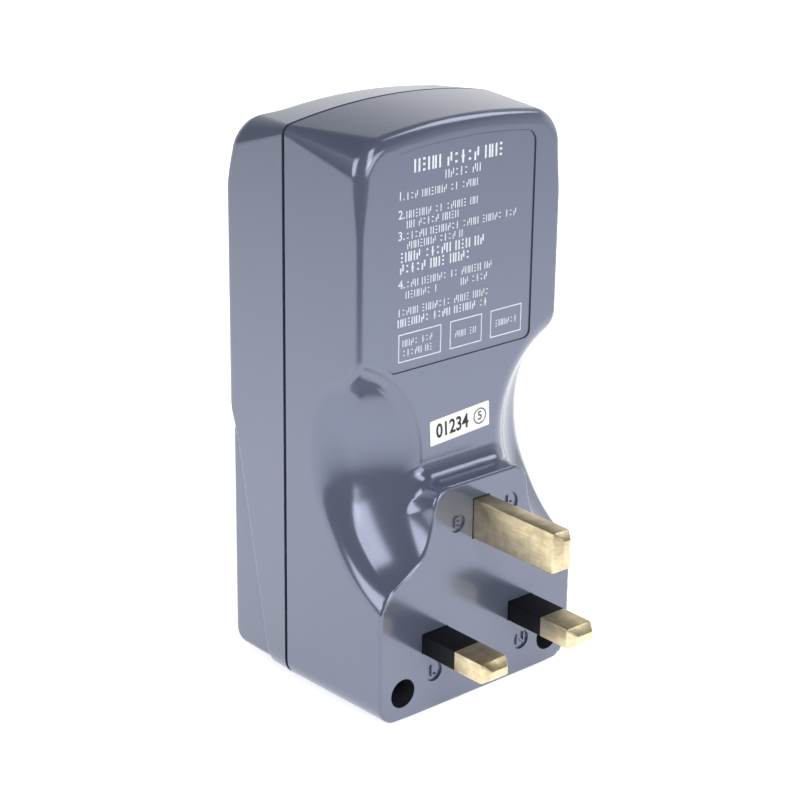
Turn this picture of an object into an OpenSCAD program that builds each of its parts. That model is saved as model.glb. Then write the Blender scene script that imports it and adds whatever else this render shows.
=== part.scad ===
// Plug-in residual-current adaptor: a two-shell case with a three-pin plug behind,
// a shuttered socket in front, and a reset button that closes a magnet-held switch.
// The origin is on the plug face, midway between the line and neutral pins.
// +Z is up, the plug pins point along +Y, and the socket and the buttons face -Y.
// Depths are counted forward (-Y) from the plug face.

/* [Case] */
// Width of the case at the seam
case_w = 51; // [49:0.5:55]
// Height of the arched top above the pin line
case_top = 98; // [96:0.5:104]
// Depth of the flat base below the pin line
case_base = 14.5; // [14:0.25:18]
// Radius of the arched top
arch_r = 127; // [110:1:180]
// Radius of the four corners seen from behind
corner_r = 3; // [2:0.5:5]
// Depth of the flat back and label plane behind the plug face
back_depth = 6.5; // [6:0.25:7]
// Depth of the seam between the two shells
seam_depth = 27; // [26.5:0.25:28]
// Depth of the front face
front_depth = 45.75; // [45:0.25:48]
// Thickness of the shell walls
wall = 2.2; // [1.8:0.1:2.4]
// Thickness of the plug face
face_t = 3; // [2.4:0.1:3.4]
// Draft angle of the shells, away from the seam
draft = 1.75; // [0.5:0.25:2]
// Width of the open seam line
seam_gap = 0.6; // [0.3:0.1:0.8]
// Reach of the locating lip past the seam
lip_reach = 2; // [1:0.25:3]
// Radius of the back edges
back_edge_r = 1.4; // [0.8:0.1:1.8]
// Radius of the upright front edges
front_edge_r = 2; // [1.5:0.1:3]
// Radius of the front edge of the arched top
front_top_r = 10; // [8:0.5:13]
// Fall of the arched top from the seam to the front, in degrees
front_top_fall = 6; // [2:0.25:7]

/* [Plug block] */
// Width of the tower round the earth pin
tower_w = 24; // [22:0.5:25]
// Height of the tower above the pin line
tower_top = 30.3; // [29.5:0.1:32]
// Radius of the tower's top corners
tower_r = 4.25; // [2:0.25:5]
// Height of the shoulder at the sides
shoulder_z = 12.5; // [11.5:0.25:13.5]
// Slope of the shoulder
shoulder_slope = 22; // [18:1:26]
// Radius of the hollow between shoulder and tower
shoulder_r = 5; // [3:0.5:6]

/* [Finger scoops] */
// Radius of each finger scoop
scoop_r = 25.8; // [24:0.1:26.5]
// Sideways place of the scoop's centre
scoop_x = 31.5; // [31:0.25:34]
// Place of the scoop's centre behind the plug face
scoop_y = 9; // [7:0.25:10]
// Height of the scoop's centre
scoop_z = 34.5; // [33:0.25:36]

/* [Plug pins] */
// Spacing of the line and neutral pins
pin_pitch = 22.23; // [21.8:0.01:22.6]
// Height of the earth pin above the pin line
earth_z = 22.23; // [21.8:0.01:22.6]
// Width of the line and neutral pins
pin_w = 6.35; // [6.1:0.01:6.5]
// Thickness of the line and neutral pins, and width of the earth pin
pin_t = 3.97; // [3.8:0.01:4.1]
// Height of the earth pin
earth_h = 7.94; // [7.6:0.01:8.1]
// Length of the line and neutral pins beyond the face
pin_len = 17.73; // [17:0.01:18.5]
// Length of the earth pin beyond the face
earth_len = 22.73; // [22:0.01:23.5]
// Length of the insulating sleeves beyond the face
sleeve_len = 8.9; // [8:0.1:9.5]
// Thickness of the sleeve wall
sleeve_t = 0.7; // [0.5:0.05:0.9]
// Length of the tapered pin tips
tip_len = 1.8; // [1:0.1:2.5]
// Inward step of the tapered tips
tip_in = 1.15; // [0.6:0.05:1.4]

/* [Case screws] */
// Sideways place of the lower screws
low_screw_x = 19; // [18.5:0.1:19.5]
// Height of the lower screws
low_screw_z = -8.75; // [-9.2:0.05:-8.6]
// Sideways place of the upper screws
high_screw_x = 13.5; // [12:0.1:14]
// Height of the upper screws
high_screw_z = 88; // [87.5:0.1:89]
// Diameter of the screw-head holes
screw_hole_d = 5.8; // [5.4:0.1:6.2]
// Diameter of the screw heads
screw_head_d = 5.2; // [4.6:0.1:5.3]
// Diameter of the screw shanks
screw_d = 2.9; // [2.6:0.1:3.1]
// Depth of the seat under the screw heads
screw_seat = 20; // [18:0.25:21]

/* [Label] */
// Width of the label recess
label_w = 35.5; // [32:0.25:37]
// Height of the bottom edge of the label
label_z = 52.3; // [51:0.1:54]
// Height of the label at its middle
label_h = 41.6; // [40.5:0.1:42]
// Depth of the label recess
label_recess = 0.4; // [0.2:0.05:0.5]
// Width of the small sticker
sticker_w = 15; // [12:0.25:17]
// Height of the small sticker
sticker_h = 5; // [4:0.25:6]
// Height of the middle of the small sticker
sticker_z = 39; // [37.5:0.25:41]
// Tilt of the small sticker
sticker_tilt = 3.5; // [0:0.5:6]

/* [Controls] */
// Width of the two buttons
button_w = 14; // [12:0.25:15]
// Height of the two buttons
button_h = 16; // [14:0.25:16.5]
// Sideways place of the buttons
button_x = 9.5; // [9.3:0.1:9.8]
// Height of the middle of the buttons
button_z = 63; // [62.5:0.1:63.2]
// Height that the buttons stand proud of the front
button_proud = 3.4; // [3:0.1:4.5]
// Travel of the reset button
reset_travel = 3; // [2.5:0.1:3.2]
// Travel of the test button
test_travel = 2; // [1.5:0.1:2.4]
// Width of the indicator window
window_w = 9; // [7:0.25:10]
// Height of the indicator window
window_h = 3.2; // [2.6:0.1:3.3]

/* [Switch] */
// Room for the button springs between the frame and the button flanges
spring_room = 7; // [6.5:0.1:7.5]
// Width of the magnet's poles and of the armature
pole_w = 7; // [6:0.1:7.4]
// Thickness of the armature and the poles
pole_t = 1.5; // [1.2:0.05:1.7]
// Diameter of the magnet's round core
core_d = 4; // [3.4:0.1:4.4]
// Diameter of the coil
coil_d = 9.2; // [8:0.1:9.4]
// Thickness of the contact carriage
carriage_t = 4; // [3.5:0.1:4.4]
// Distance between the carriage's guide posts
guide_pitch = 15; // [14.8:0.1:15.4]
// Diameter of the guide posts
guide_d = 3; // [2.6:0.1:3.2]
// Length of the indicator's drive arm
arm_len = 6; // [5.8:0.1:6.3]

/* [Board] */
// Width of the circuit board
board_w = 41; // [40.5:0.25:42]
// Height of the bottom edge of the board
board_z = 51; // [50.75:0.05:51.1]
// Height of the board
board_h = 31.5; // [31:0.1:31.8]
// Thickness of the board
board_t = 1.6; // [1.2:0.1:1.8]
// Standoff of the board from the back wall
board_off = 2.3; // [2.2:0.05:2.6]

/* [Socket] */
// Width of the line and neutral apertures
slot_w = 7.2; // [6.8:0.1:7.6]
// Height of the line and neutral apertures
slot_h = 4.8; // [4.5:0.1:5]
// Width of the earth aperture
earth_slot_w = 4.8; // [4.5:0.1:5.2]
// Height of the earth aperture
earth_slot_h = 8.8; // [8.4:0.1:9.2]
// Setback of the socket face from the front face
socket_setback = 0.7; // [0.4:0.05:1]
// Thickness of the socket face
socket_face_t = 3; // [2.6:0.1:3.2]
// Width of the socket block
socket_w = 48.6; // [46:0.2:50]
// Height of the top of the socket block
socket_top = 33.7; // [33:0.1:35]
// Height of the bottom of the socket block above the base
socket_lift = 1.6; // [1:0.1:1.7]
// Depth of the sloping front at the base
slope_depth = 32.5; // [31:0.1:34]
// Travel of the shutter
shutter_travel = 6.5; // [6:0.1:6.6]
// Thickness of the shutter
shutter_t = 2.5; // [2:0.1:2.8]
// Thickness of the contact strips
strip_t = 0.8; // [0.6:0.05:0.9]
// Gap left between the jaws of a socket contact
jaw_gap = 4.2; // [4.2:0.05:4.5]
// Diameter of the sensing ring
ring_d = 14; // [13:0.1:14.2]
// Diameter of the hole through the sensing ring
ring_hole_d = 7.6; // [7:0.1:8]
// Height of the sensing ring
ring_h = 7; // [6:0.1:7.5]

/* [Springs] */
// Diameter of the spring wire
wire_d = 0.5; // [0.4:0.05:0.6]
// Middle diameter of the button springs
button_spring_d = 6.4; // [6:0.1:7.5]
// Middle diameter of the carriage springs
guide_spring_d = 4.6; // [4.3:0.1:4.7]
// Middle diameter of the shutter spring
shutter_spring_d = 3.2; // [2.8:0.1:3.3]

/* [Hidden] */
$fn = 48;

// Clearances: between moving pieces, in a sliding guide, and between fitted pieces
move_gap = 0.3;
slide_gap = 0.08;
fit_gap = 0.05;
over = 1;
arc_steps = 8;

// Case levels
half_w = case_w / 2;
arch_z = case_top - arch_r;
back_in = back_depth + wall;
front_in = front_depth - wall;
lean = tan(draft);
boss_t = 2;
boss_end = screw_seat + boss_t;
boss_r = screw_hole_d / 2 + 1.7;
post_r = screw_d / 2 + 1.8;
block_reach = 20;
lip_t = 1.1;
low_screws = [[-low_screw_x, low_screw_z], [low_screw_x, low_screw_z]];
high_screws = [[-high_screw_x, high_screw_z], [high_screw_x, high_screw_z]];
screw_len = 16;
screw_head_h = 2.4;

// Board levels and screws
board_back = back_in + board_off;
board_front = board_back + board_t;
board_top = board_z + board_h;
board_screw_x = board_w / 2 - 2.3;
board_screws_at = [for (x = [-board_screw_x, board_screw_x], z = [board_z + 5.5, board_top - 5.5]) [x, z]];
board_screw_r = 0.95;
small_head_h = 1.2;
board_head_r = 1.8;
board_post_r = 2.3;
board_cut = 2;

// Switch stack, from the button flanges back to the magnet's poles, which stand on the board
flange_front = front_in - move_gap;
flange_t = 1.4;
flange_back = flange_front - flange_t;
frame_t = 1.6;
frame_front = flange_back - spring_room;
frame_back = frame_front - frame_t;
carriage_gap = 0.4;
carriage_front = frame_back - carriage_gap;
carriage_back = carriage_front - carriage_t;
armature_back = carriage_back - pole_t;
magnet_gap = 0.3;
pole_face = armature_back - magnet_gap - reset_travel;
flange_out = 1.5;
button_r = 3;
stem_r = 2;
reset_x = -button_x;
test_x = button_x;
magnet_h = 12.8;
carriage_w = guide_pitch + 5;
carriage_h = 14;
frame_w = board_w - 1;
frame_z = board_z - 0.1;
frame_top = button_z + 9.7;
guides_x = [reset_x - guide_pitch / 2, reset_x + guide_pitch / 2];

// Contacts of the switch
contact_dz = 10.5;
contact_x = [reset_x - 6.5, reset_x + 6.5];
contact_z = [button_z - contact_dz, button_z + contact_dz];
tip_r = 1;
tip_h = 0.6;
bar_t = 0.8;
bar_h = 2.6;
bar_end = 1.5;
fixed_tip = carriage_back - bar_t - tip_h - reset_travel - 0.2;

// Indicator flag: a bell crank above the carriage
horn_slot = 2.4;
horn_t = 1;
horn_half = 1.5;
arm_tip_r = 0.7;
flag_angle = reset_travel / arm_len * 180 / PI;
lens_flange = 0.8;
flag_half = window_h / 2 + 0.3;
flag_reach = 7.8;
pivot_depth = front_in - lens_flange - move_gap - flag_reach;
flag_face = sqrt(flag_reach * flag_reach - flag_half * flag_half);
horn_top = button_z + 12.7;
pivot_z = horn_top - 0.9 + arm_len;
window_z = pivot_z - flag_face * sin(flag_angle);
pivot_r = 0.75;
hub_r = 1.7;
ear_t = 1.5;
ear_x = window_w / 2 + 0.5;

// Test contact levels
test_stem_end = frame_back - 3;
leaf_t = 0.5;
leaf_front = test_stem_end - move_gap;
terminal_front = leaf_front - leaf_t - test_travel + 0.3;
test_w = 4;
leaf_low = 7.8;
leaf_up = 3;
terminal_low = 1;
terminal_up = 5;

// Socket levels
socket_front = front_depth - socket_setback;
socket_in = socket_front - socket_face_t;
base_back = 22.4;
base_front = base_back + 2.2;
base_w = 37.2;
base_low = -3.6;
base_top = 38.5;
shelf_t = 2;
base_screw_x = base_w / 2 - 2.6;
base_screw_low = 18.6;
base_screw_high = 35.6;
base_screws_at = [for (x = [-base_screw_x, base_screw_x], z = [base_screw_low, base_screw_high]) [x, base_low + z]];
base_screw_len = 9;
base_screw_r = 1.1;
base_head_r = 2;
jaw_set = 8.6;
jaw_half = 2.8;
earth_jaw_low = 3.2;
jaw_front = socket_front - jaw_set;
earth_jaw_set = 2.5;
earth_jaw_front = jaw_front - earth_jaw_set;
earth_bridge_z = earth_z + earth_h / 2 + 1.9;
pin_x = pin_pitch / 2;

// Shutter levels
shutter_front = socket_in - move_gap;
shutter_back = shutter_front - shutter_t;
flap_w = slot_w + 0.8;
flap_low = -slot_h / 2 - 0.8;
flap_top = -flap_low + 0.2;
bar_top = flap_top + 5.6;
ramp_low = earth_z - earth_h / 2 - 0.15;
ramp_top = ramp_low + shutter_travel;
ramp_w = earth_slot_w + 1;
ramp_back = shutter_front - shutter_travel;
// The bar stays between the apertures, so that they are open when the slide is down
bar_half = pin_x - slot_w / 2 - 0.8;
arm_in = ramp_w / 2 + 2 * move_gap;
spring_seat_z = flap_low - shutter_travel + 0.4;
shutter_spring_depth = shutter_front - shutter_spring_d / 2 - wire_d / 2 - 0.2;
rail_t = 1.4;

// Sensing ring and current straps
ring_depth = back_in + 0.3 + ring_d / 2;
ring_z = base_top;
strap_w = 4;
inner_strap_x = 1.6;
inner_strap_w = 2;
feed_depth = back_in + 0.3;
tail_end = feed_depth;
feed_x = 7.5;
load_root_x = 7.5;

// Points of an arc that rounds the corner p1 between p0 and p2
function unit(v) = v / norm(v);
function turn(a) = a > 180 ? a - 360 : a < -180 ? a + 360 : a;
function corner(p0, p1, p2, r) =
    let (u = unit(p0 - p1), v = unit(p2 - p1), half = acos(u * v) / 2,
        c = p1 + unit(u + v) * r / sin(half), s = p1 + u * r / tan(half) - c, e = p1 + v * r / tan(half) - c,
        a0 = atan2(s.y, s.x), da = turn(atan2(e.y, e.x) - a0))
    [for (i = [0:arc_steps]) c + r * [cos(a0 + da * i / arc_steps), sin(a0 + da * i / arc_steps)]];
// Outline through points [x, y, radius], with an arc at each point whose radius is above zero
function rounded(p) = let (n = len(p)) [for (i = [0:n - 1])
    let (a = p[(i + n - 1) % n], b = p[i], c = p[(i + 1) % n])
    each (b.z > 0.01 ? corner([a.x, a.y], [b.x, b.y], [c.x, c.y], b.z) : [[b.x, b.y]])];
function mirrored(p) = concat(p, [for (i = [len(p) - 1:-1:0]) if (abs(p[i].x) > 0.001) [-p[i].x, p[i].y, p[i].z]]);
function centred(w, h, r) = rounded([[-w / 2, -h / 2, r], [w / 2, -h / 2, r], [w / 2, h / 2, r], [-w / 2, h / 2, r]]);

// Solid of an XZ outline between two depths
module slab(d0, d1) {
    translate([0, -d0, 0]) rotate([90, 0, 0]) linear_extrude(d1 - d0) children();
}
// Solid of a (Y, Z) outline, centred across the width
module across(w) {
    rotate([90, 0, 90]) linear_extrude(w, center = true) children();
}
// Block between two sideways places, two depths and two heights
module block(x0, x1, d0, d1, z0, z1) {
    translate([x0, -d1, z0]) cube([x1 - x0, d1 - d0, z1 - z0]);
}
// Round bar along the depth
module rod(x, z, d0, d1, r) {
    translate([x, -d0, z]) rotate([90, 0, 0]) cylinder(h = d1 - d0, r = r);
}
// Round bar across the width
module axle(x0, x1, depth, z, r) {
    translate([x0, -depth, z]) rotate([0, 90, 0]) cylinder(h = x1 - x0, r = r);
}

// Half outline of the case at its widest reach, in depth, set in by d
function drafted(reach, back, d, r_back, r_front, fall) =
    [[0, back + (back == back_depth ? d : 0), 0],
     [reach - d - (seam_depth - back) * lean, back + (back == back_depth ? d : 0), max(r_back - d, 0.3)],
     [reach - d, seam_depth, 0],
     [reach - d - (front_depth - seam_depth) * fall, front_depth - d, max(r_front - d, 0.3)],
     [0, front_depth - d, 0]];

// Outline of the case seen from behind, set in by d; the arch itself is turned
module case_outline(d) {
    tx = half_w - corner_r;
    tz = arch_z + sqrt(arch_r * arch_r - tx * tx) - d;
    rise = tx / (tz - arch_z);
    r = max(corner_r - d, 0.5);
    polygon(rounded(mirrored([[0, -case_base + d, 0], [half_w - d, -case_base + d, r],
        [half_w - d, tz - rise * (half_w - tx), r], [0, tz + rise * tx, 0]])));
}
// Sides of the case, drafted away from the seam, from a given back depth
module case_sides(d, back) {
    p = rounded(mirrored(drafted(half_w, back, d, back_edge_r, front_edge_r, lean)));
    translate([0, 0, -case_base - over]) linear_extrude(case_base + case_top + 2 * over)
        polygon([for (q = p) [q.x, -q.y]]);
}
// Whole case form, set in by d
module case_form(d) {
    intersection() {
        case_sides(d, back_depth);
        translate([0, 0, arch_z]) rotate([90, 0, 0]) rotate_extrude($fn = 96)
            polygon(rounded(drafted(arch_r, back_depth, d, back_edge_r, front_top_r, tan(front_top_fall))));
        slab(0, front_depth + over) case_outline(d);
    }
}
// Outline of the plug block, set in by d
module block_outline(d) {
    run = half_w - tower_w / 2;
    polygon(rounded(mirrored([[0, -case_base - over, 0], [half_w + over, -case_base - over, 0],
        [half_w + over, shoulder_z - d - over * tan(shoulder_slope), 0],
        [tower_w / 2 - d, shoulder_z - d + (run + d) * tan(shoulder_slope), shoulder_r],
        [tower_w / 2 - d, tower_top - d, max(tower_r - d, 0.5)], [0, tower_top - d, 0]])));
}
module block_form(d, back) {
    intersection() {
        slab(back, block_reach) block_outline(d);
        case_sides(d, 0);
        slab(-over, front_depth) case_outline(d);
    }
}
// Finger scoops, grown by d
module scoops(d) {
    for (s = [-1, 1]) translate([s * scoop_x, scoop_y, scoop_z]) sphere(r = scoop_r + d, $fn = 96);
}
module half_space(d0, d1) {
    block(-case_w, case_w, d0, d1, -case_base - case_w, case_top + case_w);
}

module label_outline(gap) {
    w = label_w / 2 - gap;
    r = arch_r - case_top + label_z + label_h - gap;
    top = label_z + label_h - gap;
    side = top - r + sqrt(r * r - w * w);
    intersection() {
        polygon(rounded(mirrored([[0, label_z + gap, 0], [w, label_z + gap, 2], [w, side + over, 2.5],
            [0, top + over, 0]])));
        translate([0, top - r]) circle(r = r, $fn = 180);
    }
}

module rear_case() {
    color("lightslategray") difference() {
        union() {
            difference() {
                union() {
                    difference() {
                        case_form(0);
                        scoops(0);
                    }
                    block_form(0, 0);
                }
                difference() {
                    case_form(wall);
                    scoops(wall);
                }
                block_form(wall, face_t);
                half_space(seam_depth - seam_gap / 2, front_depth + over);
            }
            intersection() {
                case_form(wall / 2);
                for (p = high_screws) rod(p.x, p.y, back_depth, boss_end, boss_r);
            }
            intersection() {
                block_outline_slab();
                for (p = low_screws) rod(p.x, p.y, face_t / 2, boss_end, boss_r);
            }
            for (p = board_screws_at) rod(p.x, p.y, back_in - over, board_back, board_post_r);
        }
        slab(0, back_depth + label_recess) label_outline(0);
        for (p = concat(low_screws, high_screws)) {
            rod(p.x, p.y, -over, screw_seat, screw_hole_d / 2);
            rod(p.x, p.y, 0, boss_end + over, screw_d / 2 + 0.15);
        }
        for (p = board_screws_at) rod(p.x, p.y, back_in + 0.3, board_back + over, board_screw_r + fit_gap);
        for (x = [-pin_x, pin_x])
            block(x - pin_w / 2 - fit_gap, x + pin_w / 2 + fit_gap, -over, face_t + over,
                -pin_t / 2 - fit_gap, pin_t / 2 + fit_gap);
        block(-pin_t / 2 - fit_gap, pin_t / 2 + fit_gap, -over, face_t + over,
            earth_z - earth_h / 2 - fit_gap, earth_z + earth_h / 2 + fit_gap);
    }
}
// Sides that the lower screw bosses stay inside
module block_outline_slab() {
    intersection() {
        case_sides(wall / 2, 0);
        slab(-over, front_depth) case_outline(wall / 2);
    }
}

// Upper front with its slope, set in by d
module front_profile(d) {
    across(case_w + 2 * over) polygon([[-seam_depth + lip_reach + 2, case_top + over], [-front_depth - over, case_top + over],
        [-front_depth + d, socket_top + 4.8 + d], [-front_depth + 2.5 + d, socket_top + d * 0.5],
        [-slope_depth + d, -case_base - over], [-seam_depth + lip_reach + 2, -case_base - over]]);
}
// Socket block standing out of the slope, set in by d, with a face of its own thickness
module socket_block(d, face) {
    low = -case_base + socket_lift + d;
    intersection() {
        across(socket_w - 2 * d) polygon(rounded([[-seam_depth - 1, low, 0], [-socket_front + face, low, max(3 - d, 0.4)],
            [-socket_front + face, socket_top - d, max(1.5 - d, 0.3)], [-seam_depth - 1, socket_top - d, 0]]));
        case_form(d);
    }
}
module front_case() {
    color("slategray") difference() {
        union() {
            difference() {
                union() {
                    intersection() {
                        case_form(0);
                        front_profile(0);
                        half_space(seam_depth + seam_gap / 2, front_depth + over);
                    }
                    intersection() {
                        socket_block(0, 0);
                        half_space(seam_depth + seam_gap / 2, front_depth + over);
                    }
                    intersection() {
                        case_form(wall + fit_gap);
                        front_profile(wall - lip_t);
                        half_space(seam_depth - lip_reach, seam_depth + lip_t);
                    }
                }
                intersection() {
                    case_form(wall + fit_gap + lip_t);
                    half_space(seam_depth - lip_reach - over, seam_depth + lip_t + over);
                }
                intersection() {
                    case_form(wall);
                    front_profile(wall);
                    half_space(seam_depth + lip_t, front_depth);
                }
                intersection() {
                    socket_block(wall, socket_face_t);
                    half_space(seam_depth + lip_t, front_depth);
                }
            }
            intersection() {
                case_form(wall / 2);
                union() {
                    for (p = high_screws) rod(p.x, p.y, boss_end, front_in + over, post_r);
                    for (p = low_screws) rod(p.x, p.y, boss_end, socket_in + over, post_r);
                    for (p = base_screws_at) rod(p.x, p.y, base_front, socket_in + over, base_screw_r + 1.4);
                    for (s = [-1, 1]) shutter_rail(s);
                    block(-ramp_w / 2, ramp_w / 2, shutter_back - 1, socket_in + over,
                        -case_base + socket_lift + 1, spring_seat_z);
                }
            }
        }
        for (p = concat(low_screws, high_screws))
            rod(p.x, p.y, boss_end - over, screw_seat + screw_len + 1, screw_d / 2 + fit_gap);
        for (p = base_screws_at) rod(p.x, p.y, base_front - over, base_back + base_screw_len + 1.2, base_screw_r + fit_gap);
        for (x = [-pin_x, pin_x])
            block(x - slot_w / 2, x + slot_w / 2, socket_in - 0.1, front_depth + over, -slot_h / 2, slot_h / 2);
        block(-earth_slot_w / 2, earth_slot_w / 2, socket_in - 0.1, front_depth + over,
            earth_z - earth_slot_h / 2, earth_z + earth_slot_h / 2);
        for (x = [reset_x, test_x]) translate([x, 0, button_z])
            slab(front_in - over, front_depth + over)
                polygon(centred(button_w + 2 * move_gap, button_h + 2 * move_gap, button_r + move_gap));
        translate([reset_x, 0, window_z]) slab(front_in - over, front_depth + over)
            polygon(centred(window_w + 2 * fit_gap, window_h + 2 * fit_gap, 0.8));
    }
}
// Hooked rail that keeps one edge of the shutter
module shutter_rail(s) {
    x = pin_x + flap_w / 2;
    low = flap_low - shutter_travel - 0.8;
    mirror([s < 0 ? 1 : 0, 0, 0]) {
        block(x + move_gap, x + move_gap + rail_t, shutter_back - 1.5, socket_in + over, low, bar_top);
        block(x - 0.9, x + move_gap + rail_t, shutter_back - 1.5, shutter_back - move_gap, low, bar_top);
    }
}

// Pin bar with a tapered tip, from a start depth to its end, w wide and h high
module tapered_bar(w, h, from, to) {
    intersection() {
        translate([0, 0, -h]) linear_extrude(2 * h) polygon([[-w / 2, from], [w / 2, from], [w / 2, to - tip_len],
            [w / 2 - tip_in, to], [-w / 2 + tip_in, to], [-w / 2, to - tip_len]]);
        across(2 * w) polygon([[from, -h / 2], [to - tip_len, -h / 2], [to, -h / 2 + tip_in],
            [to, h / 2 - tip_in], [to - tip_len, h / 2], [from, h / 2]]);
    }
}
module earth_pin() {
    color("khaki") translate([0, 0, earth_z]) {
        tapered_bar(pin_t, earth_h, -face_t, earth_len);
        block(-pin_t / 2 - 1.5, pin_t / 2 + 1.5, face_t, face_t + 1.5, -earth_h / 2 - 1.5, earth_h / 2 + 1.5);
        block(-pin_t / 2 + 0.6, pin_t / 2 - 0.6, face_t, tail_end, -earth_h / 2 + 1, earth_h / 2 - 1);
    }
}
module sleeved_pin(x) {
    core_w = pin_w - 2 * sleeve_t;
    core_h = pin_t - 2 * sleeve_t;
    color("khaki") translate([x, 0, 0]) {
        tapered_bar(pin_w, pin_t, sleeve_len, pin_len);
        block(-core_w / 2, core_w / 2, -sleeve_len - 0.5, tail_end, -core_h / 2, core_h / 2);
        block(-pin_w / 2 - 1.3, pin_w / 2 + 1.3, face_t, face_t + 1.5, -pin_t / 2 - 1, pin_t / 2 + 1);
    }
}
module pin_sleeve(x) {
    core_w = pin_w - 2 * sleeve_t + 2 * fit_gap;
    core_h = pin_t - 2 * sleeve_t + 2 * fit_gap;
    color("darkslategray") translate([x, 0, 0]) difference() {
        block(-pin_w / 2, pin_w / 2, -sleeve_len, face_t, -pin_t / 2, pin_t / 2);
        block(-core_w / 2, core_w / 2, -sleeve_len - over, face_t + over, -core_h / 2, core_h / 2);
    }
}
module line_pin() { sleeved_pin(pin_x); }
module neutral_pin() { sleeved_pin(-pin_x); }
module line_sleeve() { pin_sleeve(pin_x); }
module neutral_sleeve() { pin_sleeve(-pin_x); }

module rating_label() {
    color("slategray") slab(back_depth + fit_gap, back_depth + label_recess) label_outline(0.15);
}
module date_sticker() {
    color("white") translate([0, 0, sticker_z]) rotate([0, sticker_tilt, 0])
        slab(back_depth - 0.12, back_depth) square([sticker_w, sticker_h], center = true);
}

// Cross-head screw along the depth, its head seated at a given depth
module screw(p, seat, head_r, head_h, shank_r, length) {
    slot = head_r * 0.3;
    difference() {
        union() {
            rod(p.x, p.y, seat - head_h, seat, head_r);
            rod(p.x, p.y, seat, seat + length, shank_r);
        }
        translate([p.x, 0, p.y]) for (a = [0, 90]) rotate([0, a, 0])
            block(-head_r * 0.7, head_r * 0.7, seat - head_h - over, seat - head_h * 0.4, -slot / 2, slot / 2);
    }
}
module case_screws() {
    color("silver") for (p = concat(low_screws, high_screws))
        screw(p, screw_seat, screw_head_d / 2, screw_head_h, screw_d / 2, screw_len);
}
// Screw driven the other way, its head on the front of what it holds
module front_screw(p, seat, head_r, shank_r, length) {
    translate([0, -2 * seat, 0]) mirror([0, 1, 0]) screw(p, seat, head_r, small_head_h, shank_r, length);
}
module board_screws() {
    color("silver") for (p = board_screws_at)
        front_screw(p, board_front, board_head_r, board_screw_r, board_front - back_in - 0.5);
}
module base_screws() {
    color("silver") for (p = base_screws_at) screw(p, base_back, base_head_r, small_head_h, base_screw_r, base_screw_len);
}

// Button with a cap, a retaining flange and a stem
module button(x, stem_end) {
    translate([x, 0, button_z]) {
        slab(flange_back, front_depth + button_proud) polygon(centred(button_w, button_h, button_r));
        slab(flange_back, flange_front)
            polygon(centred(button_w + 2 * flange_out, button_h + 2 * flange_out, button_r + flange_out));
        rod(0, 0, stem_end, flange_back + 0.5, stem_r);
    }
}
module reset_button() { color("royalblue") button(reset_x, carriage_front + 0.2); }
module test_button() { color("gold") button(test_x, test_stem_end); }

// Coil spring as one unbroken tube along +Z, between two flat heights
module coil_spring(mean_d, length, turns) {
    sides = 6;
    steps = turns * 8;
    r = wire_d / 2;
    rise = length - wire_d - 0.04;
    pitch = rise / turns;
    echo(spring_gap = pitch - wire_d, mean_d = mean_d);
    p = [for (i = [0:steps], k = [0:sides - 1])
        let (a = i * 45, b = k * 360 / sides, m = mean_d / 2 + r * cos(b))
        [m * cos(a), m * sin(a), r + 0.02 + rise * i / steps + r * sin(b)]];
    f = concat([for (i = [0:steps - 1], k = [0:sides - 1])
            let (a = i * sides + k, b = i * sides + (k + 1) % sides) each [[a, b + sides, b], [a, a + sides, b + sides]]],
        [for (k = [1:sides - 2]) each [[0, k, k + 1],
            [steps * sides, steps * sides + k + 1, steps * sides + k]]]);
    polyhedron(points = p, faces = f);
}
module button_spring(x) {
    color("silver") translate([x, -frame_front, button_z]) rotate([90, 0, 0])
        coil_spring(button_spring_d, flange_back - frame_front, 5);
}
module reset_spring() { button_spring(reset_x); }
module test_spring() { button_spring(test_x); }
module carriage_springs() {
    color("silver") for (x = guides_x) translate([x, -board_front, button_z]) rotate([90, 0, 0])
        coil_spring(guide_spring_d, carriage_back - board_front, 9);
}
module shutter_spring() {
    color("silver") translate([0, -shutter_spring_depth, spring_seat_z])
        coil_spring(shutter_spring_d, flap_top - spring_seat_z, 7);
}

module indicator_window() {
    color("lightcyan") translate([reset_x, 0, window_z]) {
        slab(front_in - lens_flange, front_depth) polygon(centred(window_w, window_h, 0.8));
        slab(front_in - lens_flange, front_in) polygon(centred(window_w + 2, window_h + 2, 1.2));
    }
}
// Bell crank: a drive arm down to the carriage and the flag forward to the window
module indicator_flag() {
    color("darkorange") translate([reset_x, -pivot_depth, pivot_z]) difference() {
        union() {
            axle(-ear_x + move_gap, ear_x - move_gap, 0, 0, hub_r);
            axle(-1.2, 1.2, 0, -arm_len, arm_tip_r);
            translate([-1.2, -0.6, -arm_len]) cube([2.4, 1.2, arm_len]);
            for (x = [-window_w / 2 + 0.6, window_w / 2 - 1.6]) block(x, x + 1, 0, flag_face - 0.4, -0.6, 0.6);
            block(-window_w / 2 + 0.6, window_w / 2 - 0.6, flag_face - 0.8, flag_face, -flag_half, flag_half);
        }
        axle(-ear_x, ear_x, 0, 0, pivot_r + slide_gap);
    }
}
module flag_pin() {
    color("silver") axle(reset_x - ear_x - ear_t, reset_x + ear_x + ear_t, pivot_depth, pivot_z, pivot_r);
}
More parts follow.
